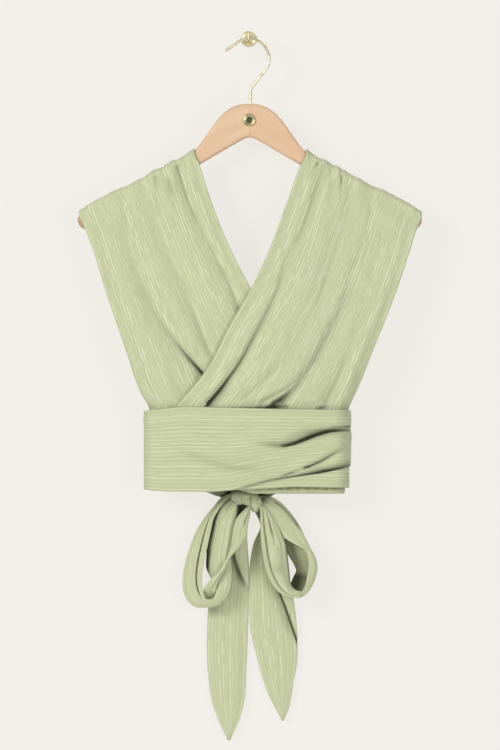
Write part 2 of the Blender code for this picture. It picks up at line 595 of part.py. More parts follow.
def make_hanger(collection, cutters):
    """Beech board with rounded edges, its brass wire hook, and the small round disc on its front."""
    curve = bpy.data.curves.new("hanger_body", "CURVE")
    curve.dimensions = "2D"
    curve.fill_mode = "BOTH"
    curve.extrude = BOARD / 2 * MM
    outline = board_outline()
    spline = curve.splines.new("POLY")
    spline.points.add(len(outline) - 1)
    spline.use_cyclic_u = True
    for point, (x, z) in zip(spline.points, outline):
        point.co = (x * MM, z * MM, 0, 1)
    flat = bpy.data.objects.new("board", curve)
    cutters.objects.link(flat)
    mesh = curve_to_mesh(flat)
    merge_flat_faces(mesh)
    for vert in mesh.vertices:
        x, y, z = vert.co
        vert.co = (x, -z - HANGER_DEPTH * MM, y)
    board = add_object("hanger_body", mesh, "beech", collection, roughness=0.5)
    rounding = board.modifiers.new("Rounded edges", "BEVEL")
    rounding.width = BOARD_ROUND * MM
    rounding.segments = 3
    rounding.limit_method = "ANGLE"
    rounding.angle_limit = math.radians(50)
    rounding.use_clamp_overlap = False
    bore = cylinder_mesh("stem_bore", WIRE_RADIUS + 0.3, 2 * BORE_DEPTH, 12)
    for vert in bore.vertices:
        x, y, z = vert.co
        vert.co = (x + STEM_X * MM, -z - HANGER_DEPTH * MM, y + (BOARD_TOP[0][1] + BORE_DEPTH) * MM)
    cutter = bpy.data.objects.new("stem_bore", bore)
    cutters.objects.link(cutter)
    add_boolean(board, cutter, "DIFFERENCE")

    turns = np.radians(np.linspace(HOOK_START, HOOK_END, 19))
    arc = np.stack((HOOK_CENTRE[0] + HOOK_RADIUS * np.cos(turns),
                    HOOK_CENTRE[1] + HOOK_RADIUS * np.sin(turns)), -1)
    tip = arc[0] + HOOK_TIP_LENGTH * np.array((-math.sin(turns[0]), math.cos(turns[0])))
    slant = arc[-1] + HOOK_SLANT_LENGTH * np.array((math.sin(turns[-1]), -math.cos(turns[-1])))
    stem = [(STEM_X, slant[1] - 4), (STEM_X, BOARD_TOP[0][1] - BORE_DEPTH + 2)]
    route = [tip] + list(arc) + [slant] + stem
    points = [(x, HANGER_DEPTH, z) for x, z in route]
    wire = curve_to_mesh(wire_object("wire", points, WIRE_RADIUS, cutters))
    wire.shade_smooth()
    add_object("hanger_hook", wire, "brass", collection, metallic=1.0, roughness=0.3)

    disc = cylinder_mesh("hanger_disc", DISC_RADIUS, DISC_THICK, 28)
    for vert in disc.vertices:
        x, y, z = vert.co
        vert.co = (x + DISC_CENTRE[0] * MM, y - (HANGER_DEPTH + BOARD / 2 + 0.3) * MM,
                   z + DISC_CENTRE[1] * MM)
    add_object("hanger_disc", disc, "brass", collection, metallic=1.0, roughness=0.35)


def build():
    """Clear the scene and make every piece."""
    for old in list(bpy.data.objects):
        bpy.data.objects.remove(old)
    parts = bpy.data.collections.new("multiway_top")
    cutters = bpy.data.collections.new("cutters")
    bpy.context.scene.collection.children.link(parts)
    bpy.context.scene.collection.children.link(cutters)
    make_wall_hook(parts, cutters)
    make_hanger(parts, cutters)
    make_panels(parts)
    make_waist(parts)
    make_bow(parts)


build()
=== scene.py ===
"""Looks of a multiway wrap top on a wooden hanger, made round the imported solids.

Tables are in millimetres, and each mesh is scaled to metres as it is made. "Depth" is the distance
out from the wall, so y is minus the depth. +Z is up, and the front of the garment faces -Y.
"""
import math
from collections import namedtuple

import bmesh
import bpy
import numpy as np
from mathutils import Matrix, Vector


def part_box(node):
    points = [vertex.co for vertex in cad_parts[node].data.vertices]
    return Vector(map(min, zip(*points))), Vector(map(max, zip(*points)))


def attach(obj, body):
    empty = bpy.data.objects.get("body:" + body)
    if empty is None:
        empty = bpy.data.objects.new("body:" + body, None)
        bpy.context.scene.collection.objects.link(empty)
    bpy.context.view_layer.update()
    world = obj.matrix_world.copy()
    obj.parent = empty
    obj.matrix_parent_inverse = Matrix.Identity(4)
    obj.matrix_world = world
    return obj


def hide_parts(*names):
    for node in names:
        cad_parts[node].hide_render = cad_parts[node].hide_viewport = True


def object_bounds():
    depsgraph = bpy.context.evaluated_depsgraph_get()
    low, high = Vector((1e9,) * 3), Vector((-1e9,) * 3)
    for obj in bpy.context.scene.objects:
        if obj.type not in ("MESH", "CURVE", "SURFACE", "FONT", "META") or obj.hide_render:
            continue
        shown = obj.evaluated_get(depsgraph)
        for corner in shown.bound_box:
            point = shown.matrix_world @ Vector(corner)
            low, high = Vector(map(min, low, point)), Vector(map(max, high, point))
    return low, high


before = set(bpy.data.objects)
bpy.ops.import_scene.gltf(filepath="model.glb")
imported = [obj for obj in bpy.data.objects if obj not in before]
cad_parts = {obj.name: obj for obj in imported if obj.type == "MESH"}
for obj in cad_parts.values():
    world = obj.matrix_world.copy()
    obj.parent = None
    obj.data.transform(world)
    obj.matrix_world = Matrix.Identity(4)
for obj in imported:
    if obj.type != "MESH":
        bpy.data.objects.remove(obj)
solid_low, solid_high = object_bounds()

# The room. An evenly lit, matt off-white wall that glows a little, and a pale floor well below it, under
# a large soft light from the upper left and a weaker one from the right. Only the camera sees the wall,
# and only from the front, and the floor isn't there from beneath.
MM = 0.001
WALL_COLOUR = (0.11, 0.1085, 0.106, 1)
WALL_MOTTLE = (0.105, 0.1035, 0.101, 1)
WALL_GLOW = (0.765, 0.742, 0.702, 1)
FLOOR_COLOUR = (0.80, 0.79, 0.77, 1)
ROOM_HALF = 2.2
FLOOR_HEIGHT = -1.6
WALL_GAP = 0.0005
CAMERA_X = 0.0013
CAMERA_DISTANCE = 9.0
CAMERA_HEIGHT = -0.4319
VIEW_HALF_HEIGHT = 0.48
GARMENT_DEPTH = 0.04


def add_node(tree, kind, inputs=None, **settings):
    """Shader node with its settings, and with each named input set to a value or linked to a socket."""
    node = tree.nodes.new(kind)
    for name, value in settings.items():
        setattr(node, name, value)
    for name, value in (inputs or {}).items():
        if isinstance(value, bpy.types.NodeSocket):
            tree.links.new(value, node.inputs[name])
        else:
            node.inputs[name].default_value = value
    return node


def calculate(tree, operation, first, second=0.0, third=0.0):
    """Output of a Math node."""
    node = add_node(tree, "ShaderNodeMath", {0: first, 1: second, 2: third}, operation=operation)
    return node.outputs[0]


def blend_colour(tree, factor, first, second):
    """Output of a Mix node that goes from the first colour to the second."""
    node = add_node(tree, "ShaderNodeMix", {0: factor, 6: first, 7: second}, data_type="RGBA")
    return node.outputs[2]


def stepped(tree, value, low, high, from_value=0.0, to_value=1.0):
    """Output of a smooth step between two values."""
    node = add_node(tree, "ShaderNodeMapRange", {
        "Value": value, "From Min": low, "From Max": high, "To Min": from_value, "To Max": to_value},
        interpolation_type="SMOOTHSTEP")
    return node.outputs["Result"]


def new_material(name):
    """Material with only a Principled shader and an output, and the tree and shader with it."""
    material = bpy.data.materials.new(name)
    material.use_nodes = True
    return material, material.node_tree, material.node_tree.nodes["Principled BSDF"]


def flat_square(name, corners, material):
    """One square of the room."""
    mesh = bpy.data.meshes.new(name)
    mesh.from_pydata(corners, [], [(0, 1, 2, 3)])
    mesh.materials.append(material)
    square = bpy.data.objects.new(name, mesh)
    bpy.context.scene.collection.objects.link(square)


def soft_light(name, place, aim, size, power, colour):
    """Square area light that looks at a point."""
    light = bpy.data.lights.new(name, "AREA")
    light.size = size
    light.energy = power
    light.color = colour
    lamp = bpy.data.objects.new(name, light)
    lamp.location = place
    lamp.rotation_euler = (Vector(aim) - Vector(place)).to_track_quat("-Z", "Y").to_euler()
    bpy.context.scene.collection.objects.link(lamp)


def clear_where(tree, shader, gone):
    """Shows a material's shader, and lets rays through where the mask is 1."""
    clear = add_node(tree, "ShaderNodeBsdfTransparent").outputs[0]
    either = add_node(tree, "ShaderNodeMixShader", {0: gone, 1: shader.outputs[0], 2: clear})
    tree.links.new(either.outputs[0], tree.nodes["Material Output"].inputs["Surface"])


wall_paint, tree, shader = new_material("wall_paint")
shader.inputs["Roughness"].default_value = 0.9
mottle = add_node(tree, "ShaderNodeTexNoise", {"Scale": 2.5, "Detail": 3.0})
wall_tone = blend_colour(tree, mottle.outputs["Fac"], WALL_MOTTLE, WALL_COLOUR)
tree.links.new(wall_tone, shader.inputs["Base Color"])
shader.inputs["Emission Color"].default_value = WALL_GLOW
shader.inputs["Emission Strength"].default_value = 1.0
seen_from_behind = add_node(tree, "ShaderNodeNewGeometry").outputs["Backfacing"]
camera_ray = add_node(tree, "ShaderNodeLightPath").outputs["Is Camera Ray"]
clear_where(tree, shader,
            calculate(tree, "MAXIMUM", seen_from_behind, calculate(tree, "SUBTRACT", 1.0, camera_ray)))
wall_y = float(solid_high[1]) + WALL_GAP
flat_square("wall", [(-ROOM_HALF, wall_y, FLOOR_HEIGHT), (ROOM_HALF, wall_y, FLOOR_HEIGHT),
                     (ROOM_HALF, wall_y, ROOM_HALF), (-ROOM_HALF, wall_y, ROOM_HALF)], wall_paint)
floor_paint, tree, shader = new_material("floor_paint")
shader.inputs["Roughness"].default_value = 0.8
shader.inputs["Base Color"].default_value = FLOOR_COLOUR
clear_where(tree, shader, add_node(tree, "ShaderNodeNewGeometry").outputs["Backfacing"])
floor_corners = ((-1, -2), (1, -2), (1, 1), (-1, 1))
flat_square("floor", [(x * ROOM_HALF, y * ROOM_HALF, FLOOR_HEIGHT) for x, y in floor_corners], floor_paint)
soft_light("key_light", (-2.8, -3.0, 0.95), (0, 0, -0.45), 1.5, 98, (1.0, 0.985, 0.96))
soft_light("fill_light", (1.9, -2.9, -0.6), (0, 0, -0.45), 1.6, 31, (0.97, 0.98, 1.0))
soft_light("back_light", (1.2, 2.2, 1.3), (0, 0, -0.4), 1.6, 34, (1.0, 0.99, 0.97))
world = bpy.data.worlds.new("studio_air")
bpy.context.scene.world = world
world.use_nodes = True
tree = world.node_tree
gaze = add_node(tree, "ShaderNodeTexCoord").outputs["Object"]
upwards = add_node(tree, "ShaderNodeSeparateXYZ", {0: gaze}).outputs["Z"]
air = blend_colour(tree, stepped(tree, upwards, -0.6, 0.9), (0.36, 0.36, 0.36, 1), (1.0, 1.0, 1.0, 1))
tree.links.new(air, tree.nodes["Background"].inputs["Color"])
tree.nodes["Background"].inputs["Strength"].default_value = 0.50
bpy.context.scene.view_settings.view_transform = "Standard"
lens = bpy.data.cameras.new("front_camera")
lens.sensor_width = 36.0
lens.lens = 18.0 * (CAMERA_DISTANCE - GARMENT_DEPTH) / VIEW_HALF_HEIGHT
camera = bpy.data.objects.new("front_camera", lens)
camera.location = (CAMERA_X, -CAMERA_DISTANCE, CAMERA_HEIGHT)
camera.rotation_euler = (math.pi / 2, 0, 0)
bpy.context.scene.collection.objects.link(camera)
bpy.context.scene.camera = camera

# The wall hook. A turned brass rose with a raised rim and a dished face, fixed flat to the wall, and
# a bent brass pin set in its middle: the pin runs under the hanger's wire and turns up in front.
PIN_RADIUS = 1.25
PIN_X = -0.5
PIN_TIP = 8.0
PIN_HEIGHT = -4.35
PIN_BEND = 3.0
PIN_GAP = 0.6
WIRE_DEPTH = -1000 * float((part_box("hanger_hook")[0][1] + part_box("hanger_hook")[1][1]) / 2)
WIRE_RADIUS = 1.85
MERGE_DISTANCE = 0.002
ROSE_PROFILE = ((0, 0), (10.0, 0), (10.25, 0.3), (10.25, 1.3), (9.9, 2.2), (9.1, 2.9), (8.3, 2.95),
                (7.5, 2.5), (6.6, 2.1), (4.0, 2.2), (2.6, 2.5), (2.1, 3.0), (1.4, 3.0), (0, 3.0))


def surface_mesh(name, grid, threads=None, closed=False, flip=False, painted_shade=None):
    """Mesh of quads over rows and columns of points in millimetres, with doubled points merged.

    The columns of a closed grid join into a ring. Threads are two lengths in metres for each point,
    across and along the cloth's stripes, kept as a UV map; a closed grid has one column more of them.
    Painted shade is how dark each point is painted for lying in a crease, from 0 to 1, kept as an attribute.
    """
    rows, columns = grid.shape[:2]
    numbers = np.arange(rows * columns).reshape(rows, columns)
    if closed:
        numbers = np.concatenate((numbers, numbers[:, :1]), axis=1)
    faces = np.stack((numbers[:-1, :-1], numbers[:-1, 1:], numbers[1:, 1:], numbers[1:, :-1]), -1)
    if flip:
        faces = faces[..., ::-1]
    mesh = bpy.data.meshes.new(name)
    mesh.from_pydata((grid.reshape(-1, 3) * MM).tolist(), [], faces.reshape(-1, 4).tolist())
    if threads is not None:
        corners = np.stack((threads[:-1, :-1], threads[:-1, 1:], threads[1:, 1:], threads[1:, :-1]), 2)
        if flip:
            corners = corners[:, :, ::-1]
        mesh.uv_layers.new(name="threads").data.foreach_set("uv", corners.reshape(-1))
    if painted_shade is not None:
        shade = np.clip(np.broadcast_to(painted_shade, (rows, columns)), 0.0, 1.0)
        mesh.attributes.new("painted_shade", "FLOAT", "POINT").data.foreach_set("value", shade.reshape(-1))
    work = bmesh.new()
    work.from_mesh(mesh)
    bmesh.ops.remove_doubles(work, verts=work.verts, dist=MERGE_DISTANCE * MM)
    work.to_mesh(mesh)
    work.free()
    mesh.shade_smooth()
    return mesh


def add_piece(name, mesh, material, slot, *nodes):
    """Object for a finished mesh, fixed to the hung garment in place of the CAD nodes it stands for."""
    mesh.materials.append(material)
    piece = bpy.data.objects.new(name, mesh)
    bpy.context.scene.collection.objects.link(piece)
    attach(piece, "root")
    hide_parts(*nodes)
    return piece


def turned_grid(profile, steps, centre_x, centre_z, base_depth=0.0):
    """Profile of (radius, depth) turned about an axis that points out from the wall."""
    radius, depth = np.array(profile, float).T[:, :, None]
    turn = np.linspace(0, 2 * math.pi, steps, endpoint=False)[None]
    x = centre_x + radius * np.cos(turn)
    z = centre_z + radius * np.sin(turn)
    return np.stack((x, np.broadcast_to(-(depth + base_depth), x.shape), z), -1)


def tube_grid(path, radius, plane_normal, sides):
    """Round tube along a path in a plane: each ring is spanned by the plane's normal and the normal
    of the path in that plane. The end is turned over a small round and closed."""
    path = np.array(path, float)
    tangent = np.gradient(path, axis=0)
    tangent /= np.linalg.norm(tangent, axis=1, keepdims=True)
    normal = np.array(plane_normal, float)
    side = np.cross(tangent, normal)
    round_off = np.array(((0.0, 0.0), (0.75, 0.04), (0.95, 0.3), (1.0, 0.8)))
    shrink = radius * np.concatenate((round_off[:, 0], np.ones(len(path)), round_off[::-1, 0]))
    start = path[0] + tangent[0] * round_off[:, 1:] * radius * 0.5
    end = path[-1] - tangent[-1] * round_off[::-1, 1:] * radius * 0.5
    inner = path.copy()
    inner[0] += tangent[0] * radius * 0.5
    inner[-1] -= tangent[-1] * radius * 0.5
    spine = np.concatenate((start, inner, end))
    side = np.concatenate((np.repeat(side[:1], 4, 0), side, np.repeat(side[-1:], 4, 0)))
    turn = np.linspace(0, 2 * math.pi, sides, endpoint=False)[None, :, None]
    ring = side[:, None] * np.cos(turn) + normal * np.sin(turn)
    return spine[:, None] + ring * shrink[:, None, None]


def surface_group(name, inputs):
    """Node group for a surface with its own inputs, and their sockets and those of the outputs, which
    are colour, roughness and height."""
    group = bpy.data.node_groups.new(name, "ShaderNodeTree")
    for socket, kind in inputs:
        group.interface.new_socket(socket, in_out="INPUT", socket_type="NodeSocket" + kind)
    for socket, kind in (("Color", "Color"), ("Roughness", "Float"), ("Height", "Float")):
        group.interface.new_socket(socket, in_out="OUTPUT", socket_type="NodeSocket" + kind)
    return group, group.nodes.new("NodeGroupInput").outputs, group.nodes.new("NodeGroupOutput").inputs


def show_group(tree, shader, group, values, strength, distance):
    """Gives a shader the colour, roughness and bumps of a surface group."""
    surface = add_node(tree, "ShaderNodeGroup", values, node_tree=group).outputs
    bump = add_node(tree, "ShaderNodeBump", {"Height": surface["Height"], "Strength": strength,
                                             "Distance": distance})
    tree.links.new(surface["Color"], shader.inputs["Base Color"])
    tree.links.new(surface["Roughness"], shader.inputs["Roughness"])
    tree.links.new(bump.outputs["Normal"], shader.inputs["Normal"])


def brass_wear():
    """Node group of lacquered brass: fine drawn streaks, and slow smudges that are duller."""
    group, source, result = surface_group("brass_wear", (("Bright", "Color"), ("Dull", "Color")))
    place = add_node(group, "ShaderNodeTexCoord").outputs["Object"]
    smudge = add_node(group, "ShaderNodeTexNoise", {"Vector": place, "Scale": 120.0, "Detail": 3.0})
    drawn = add_node(group, "ShaderNodeMapping", {"Vector": place, "Scale": (1.0, 1.0, 0.12)})
    streak = add_node(group, "ShaderNodeTexNoise", {"Vector": drawn.outputs[0], "Scale": 2600.0})
    tarnish = stepped(group, smudge.outputs["Fac"], 0.42, 0.72)
    group.links.new(blend_colour(group, tarnish, source["Bright"], source["Dull"]), result["Color"])
    group.links.new(calculate(group, "MULTIPLY_ADD", smudge.outputs["Fac"], 0.12, 0.36),
                    result["Roughness"])
    group.links.new(streak.outputs["Fac"], result["Height"])
    return group


def brass_material(name, bright, dull):
    """Brass finish with its own bright and dull tone."""
    material, tree, shader = new_material(name)
    show_group(tree, shader, BRASS_WEAR, {"Bright": bright, "Dull": dull}, 0.05, 0.00002)
    shader.inputs["Metallic"].default_value = 1.0
    return material


BRASS_WEAR = brass_wear()
rose_brass = brass_material("rose_brass", (0.86, 0.78, 0.50, 1), (0.62, 0.54, 0.30, 1))
rose = turned_grid(ROSE_PROFILE, 64, 0.0, 0.0)
add_piece("wall_rose", surface_mesh("wall_rose", rose, closed=True, flip=True), rose_brass, "wall_hook",
          "wall_hook")
front_depth = WIRE_DEPTH + WIRE_RADIUS + PIN_GAP + PIN_RADIUS
bend = np.linspace(0, math.pi / 2, 14)
bent = np.stack((np.full(len(bend), PIN_X), -(front_depth - PIN_BEND + PIN_BEND * np.sin(bend)),
                 PIN_HEIGHT + PIN_BEND - PIN_BEND * np.cos(bend)), -1)
pin_path = np.concatenate(([(PIN_X, -1.0, PIN_HEIGHT), (PIN_X, -16.0, PIN_HEIGHT)], bent,
                           [(PIN_X, -front_depth, 2.0), (PIN_X, -front_depth, PIN_TIP)]))
pin = tube_grid(pin_path, PIN_RADIUS, (1, 0, 0), 20)
add_piece("wall_pin", surface_mesh("wall_pin", pin, closed=True), rose_brass, "wall_hook", "wall_hook")

# The hanger's wire. Brass-plated steel wire, drawn straight, bent to an open hook and kinked back to
# a short stem that is screwed into the top of the board. Its free end is cut square and dulled.
HOOK_CENTRE = (0.5, -26.2)
HOOK_RADIUS = 25.3
HOOK_START, HOOK_END = 125.0, -38.0
HOOK_TIP_LENGTH = 20.0
HOOK_SLANT_LENGTH = 28.4
STEM_X = 1.9
STEM_BOTTOM = -94.0
turns = np.radians(np.linspace(HOOK_START, HOOK_END, 60))
arc = HOOK_CENTRE + HOOK_RADIUS * np.stack((np.cos(turns), np.sin(turns)), -1)
hook_end = arc[0] + HOOK_TIP_LENGTH * np.array((-math.sin(turns[0]), math.cos(turns[0])))
kink = arc[-1] + HOOK_SLANT_LENGTH * np.array((math.sin(turns[-1]), -math.cos(turns[-1])))
slant = arc[-1] + (kink - arc[-1]) * np.array((0.3, 0.6, 0.9, 0.97))[:, None]
kink_bend = np.array(((kink[0] - 0.2, kink[1] - 0.9), (STEM_X + 0.2, kink[1] - 2.4)))
stem = np.array(((STEM_X, kink[1] - 4.5), (STEM_X, -78.0), (STEM_X, STEM_BOTTOM)))
wire = np.concatenate((hook_end[None], arc[0] + (hook_end - arc[0]) * np.array(((0.9,), (0.5,))), arc,
                       slant, kink_bend, stem))
wire_path = np.stack((wire[:, 0], np.full(len(wire), -WIRE_DEPTH), wire[:, 1]), -1)
wire_brass = brass_material("wire_brass", (0.90, 0.82, 0.58, 1), (0.66, 0.58, 0.36, 1))
add_piece("hook_wire", surface_mesh("hook_wire", tube_grid(wire_path, WIRE_RADIUS, (0, 1, 0), 28),
                                    closed=True, flip=True), wire_brass, "hanger_hook", "hanger_hook")

# The hanger board. Two arms of solid beech, jointed at a mitre in the middle, sawn to shape with the
# grain running along each arm, rounded over on all edges and finished with a satin varnish.
HANGER_X = 1.0
BOARD_HALF = 6.0
BOARD_ROUND = 4.6
BOARD_APEX = -125.0
BOARD_SLOPE = 0.585
GRAIN_SLOPE = 0.56
TIP_CENTRE = (208.5, -233.5)
TIP_RADIUS = 11.8
BOARD_TOP = ((0, -84.4), (9, -85), (23, -89.3), (35, -98), (46.5, -112), (57, -127), (70, -143.7),
             (91, -157.7), (120, -171.7), (148, -188.2), (178, -200.7), (205, -215.4))


def lengths_along(points):
    """Length of a line from its first point to each point."""
    return np.concatenate(([0.0], np.cumsum(np.linalg.norm(np.diff(points, axis=0), axis=1))))


def smooth_path(points, fractions):
    """Points at fractions of the length of a curve: cubic pieces with the mean slope at each point."""
    points = np.array(points, float)
    along = lengths_along(points)
    along /= along[-1]
    slopes = np.gradient(points, along, axis=0)
    cell = np.clip(np.searchsorted(along, fractions, side="right") - 1, 0, len(along) - 2)
    width = (along[cell + 1] - along[cell])[:, None]
    t = (fractions[:, None] - along[cell][:, None]) / width
    start = (2 * t**3 - 3 * t**2 + 1) * points[cell] + (t**3 - 2 * t**2 + t) * width * slopes[cell]
    end = (3 * t**2 - 2 * t**3) * points[cell + 1] + (t**3 - t**2) * width * slopes[cell + 1]
    return start + end


def board_outline():
    """Outline of the board: curved top edge, round tip and straight lower edge, on both sides."""
    top = smooth_path(BOARD_TOP, np.linspace(0, 1, 90))
    slope = math.atan(BOARD_SLOPE)
    turn = np.linspace(math.pi / 2 - slope, -math.pi / 2 - slope, 26)
    tip = TIP_CENTRE + TIP_RADIUS * np.stack((np.cos(turn), np.sin(turn)), -1)
    out = np.array((180.0, 140.0, 100.0, 60.0, 30.0, 12.0, 5.0))
    lower = np.stack((out, BOARD_APEX - BOARD_SLOPE * out), -1)
    half = np.concatenate((top, tip, lower))
    half[-1, 1] -= 0.6
    return np.concatenate((half, [(0.0, BOARD_APEX - 2.6)], half[:0:-1] * (-1, 1))) + (HANGER_X, 0.0)


def board_rings(outline):
    """Rings of the board's rounded edge from the middle of its rim to its flat face, for one side:
    the outline moved inwards by r(1 - cos a), at the depth half - r + r sin a."""
    back, ahead = np.roll(outline, 1, axis=0), np.roll(outline, -1, axis=0)
    tangent = ahead - back
    tangent /= np.linalg.norm(tangent, axis=1, keepdims=True)
    inward = np.stack((tangent[:, 1], -tangent[:, 0]), -1)
    turn = np.linspace(0, math.pi / 2, 9)
    inset = np.concatenate((BOARD_ROUND * (1 - np.cos(turn)), (BOARD_ROUND + 0.5,)))
    out = np.concatenate((BOARD_HALF - BOARD_ROUND + BOARD_ROUND * np.sin(turn), (BOARD_HALF,)))
    ring = outline[None] + inward[None] * inset[:, None, None]
    return ring, out


outline = board_outline()
ring, out = board_rings(outline)
depth = np.concatenate((-out[::-1], out)) + WIRE_DEPTH
both = np.concatenate((ring[::-1], ring))
depth = np.broadcast_to(depth[:, None], both.shape[:2])
board_grid = np.stack((both[..., 0], -depth, both[..., 1]), -1)
board_mesh = surface_mesh("beech_board", board_grid, closed=True)
work = bmesh.new()
work.from_mesh(board_mesh)
open_edges = [edge for edge in work.edges if edge.is_boundary]
faces = bmesh.ops.edgeloop_fill(work, edges=open_edges)["faces"]
bmesh.ops.triangulate(work, faces=faces)
bmesh.ops.recalc_face_normals(work, faces=work.faces)
work.to_mesh(board_mesh)
work.free()

beech, tree, shader = new_material("beech")
place = add_node(tree, "ShaderNodeTexCoord").outputs["Object"]
centred = add_node(tree, "ShaderNodeMapping", {"Vector": place, "Location": (-HANGER_X * MM, 0, 0)})
part = add_node(tree, "ShaderNodeSeparateXYZ", {0: centred.outputs[0]})
outwards = calculate(tree, "ABSOLUTE", part.outputs["X"])
which_arm = calculate(tree, "SIGN", part.outputs["X"])
arm_turn = math.atan(GRAIN_SLOPE)
along = calculate(tree, "SUBTRACT", calculate(tree, "MULTIPLY", outwards, math.cos(arm_turn)),
                  calculate(tree, "MULTIPLY", part.outputs["Z"], math.sin(arm_turn)))
across = calculate(tree, "ADD", calculate(tree, "MULTIPLY", outwards, math.sin(arm_turn)),
                   calculate(tree, "MULTIPLY", part.outputs["Z"], math.cos(arm_turn)))
offset = calculate(tree, "MULTIPLY_ADD", which_arm, 0.37, part.outputs["Y"])
grain_place = add_node(tree, "ShaderNodeCombineXYZ", {0: along, 1: across, 2: offset}).outputs[0]
long_grain = add_node(tree, "ShaderNodeMapping", {"Vector": grain_place, "Scale": (6.0, 95.0, 60.0)})
figure = add_node(tree, "ShaderNodeTexNoise", {"Vector": long_grain.outputs[0], "Scale": 1.0,
                                               "Detail": 4.0, "Distortion": 0.4}).outputs["Fac"]
fine_grain = add_node(tree, "ShaderNodeMapping", {"Vector": grain_place, "Scale": (60.0, 900.0, 500.0)})
pores = add_node(tree, "ShaderNodeTexNoise", {"Vector": fine_grain.outputs[0], "Scale": 1.0,
                                              "Detail": 2.0}).outputs["Fac"]
flecks = stepped(tree, pores, 0.56, 0.72)
tone = blend_colour(tree, stepped(tree, figure, 0.3, 0.7), (0.72, 0.485, 0.298, 1),
                    (0.81, 0.585, 0.387, 1))
redder = stepped(tree, part.outputs["X"], -0.001, 0.001, 0.0, 0.32)
tone = blend_colour(tree, redder, tone, (0.75, 0.46, 0.277, 1))
tone = blend_colour(tree, calculate(tree, "MULTIPLY", flecks, 0.30), tone, (0.60, 0.37, 0.21, 1))
joint = stepped(tree, outwards, 0.0001, 0.0009, 0.28, 0.0)
tone = blend_colour(tree, joint, tone, (0.50, 0.31, 0.18, 1))
# Painted shade on the board's tips, darker towards the ends where the cloth hangs in front of them
tone = blend_colour(tree, stepped(tree, outwards, 0.196, 0.212, 0.0, 0.6), tone, (0.46, 0.24, 0.16, 1))
tree.links.new(tone, shader.inputs["Base Color"])
tree.links.new(calculate(tree, "MULTIPLY_ADD", figure, -0.12, 0.52), shader.inputs["Roughness"])
relief = calculate(tree, "SUBTRACT", figure, calculate(tree, "MULTIPLY", flecks, 0.5))
bump = add_node(tree, "ShaderNodeBump", {"Height": relief, "Strength": 0.25, "Distance": 0.0001})
tree.links.new(bump.outputs["Normal"], shader.inputs["Normal"])
shader.inputs["Coat Weight"].default_value = 0.15
shader.inputs["Coat Roughness"].default_value = 0.3
add_piece("beech_board", board_mesh, beech, "hanger_body", "hanger_body")

# The disc. A small turned brass button pressed on to the board under the wire, with a raised rim, a
# ringed face and a plain dark green enamel middle.
DISC_CENTRE = (0.3, -105.5)
DISC_PROFILE = ((0, 0.0), (7.9, 0.0), (8.0, 0.3), (8.0, 1.0), (7.6, 1.5), (7.0, 1.6), (6.4, 1.5),
                (6.0, 1.15), (5.2, 1.1), (4.9, 1.4), (4.5, 1.55), (4.2, 1.3), (4.0, 1.1), (2.0, 1.3),
                (0, 1.38))
DISC_BACK = BOARD_HALF + 0.3
disc_brass, tree, shader = new_material("disc_brass")
wear = add_node(tree, "ShaderNodeGroup", {"Bright": (0.62, 0.55, 0.30, 1),
                                          "Dull": (0.40, 0.35, 0.17, 1)}, node_tree=BRASS_WEAR)
place = add_node(tree, "ShaderNodeTexCoord").outputs["Object"]
centred = add_node(tree, "ShaderNodeMapping", {"Vector": place, "Location": (
    -DISC_CENTRE[0] * MM, 0, -DISC_CENTRE[1] * MM), "Scale": (1, 0, 1)})
from_middle = add_node(tree, "ShaderNodeVectorMath", {0: centred.outputs[0]}, operation="LENGTH")
enamel = stepped(tree, from_middle.outputs["Value"], 0.0040, 0.0044, 1.0, 0.0)
tree.links.new(blend_colour(tree, enamel, wear.outputs["Color"], (0.055, 0.085, 0.035, 1)),
               shader.inputs["Base Color"])
tree.links.new(calculate(tree, "SUBTRACT", 1.0, enamel), shader.inputs["Metallic"])
tree.links.new(calculate(tree, "MULTIPLY_ADD", enamel, -0.1, wear.outputs["Roughness"]),
               shader.inputs["Roughness"])
disc = turned_grid(DISC_PROFILE, 56, *DISC_CENTRE, base_depth=WIRE_DEPTH + DISC_BACK)
add_piece("brass_button", surface_mesh("brass_button", disc, closed=True, flip=True), disc_brass,
          "hanger_disc", "hanger_disc")

# The left panel. One of the top's two long strips, of crinkled viscose with broken pale lengthwise
# stripes: from the waist it goes up the front, gathered over the arm of the hanger, and down the back.
SHELL = 1.0
CLOTH = 1.2
SEAM_GAP = 0.4
SHOULDER = ((70, -142), (91, -155), (120, -169), (148, -185.5), (178, -198), (205, -212.5), (221, -223))
ARM_CURVE = 6.4
WAIST_X = -2.0
WAIST_STRAIGHT = 111.0
WAIST_BELLY = 3.0
LEFT_RADIUS = 14.8
WAIST_LINE = -474.0
TUCK = -489.0
Section = namedtuple("Section", "height straight swell edge")
SECTIONS = (Section(-492, WAIST_STRAIGHT, 1.0, 1.0),
            Section(-474, WAIST_STRAIGHT, 1.0, 1.0),
            Section(-450, 122, 1.0, 0.85),
            Section(-414, 137, 0.95, 0.7),
            Section(-327, 172, 0.6, 0.5),
            Section(-255, 200, 0.2, 0.0),
            Section(-130, 212, 0.0, 0.0))
LEFT_INNER = ((-65.3, -158), (-55.6, -187), (-45.5, -217), (-31, -254), (-16, -286.5), (1.3, -319.2),
              (36, -392), (84, TUCK))
LEFT_OUTER = ((-208.5, -248), (-196.7, -280.6), (-182.1, -327.6), (-152.3, -414), (-140, -451),
              (-127, -474), (-125, TUCK))
LEFT_NECK = -69.5
LEFT_ARMHOLE = -217.3
BACK_NECK_SHIFT = 3.0
BACK_SIDE_SHIFT = 1.5
SLACK_AT_SHOULDER = 2.5
SLACK_AT_WAIST = 5.0
STRIP_FLAT = (0.19, 0.66)
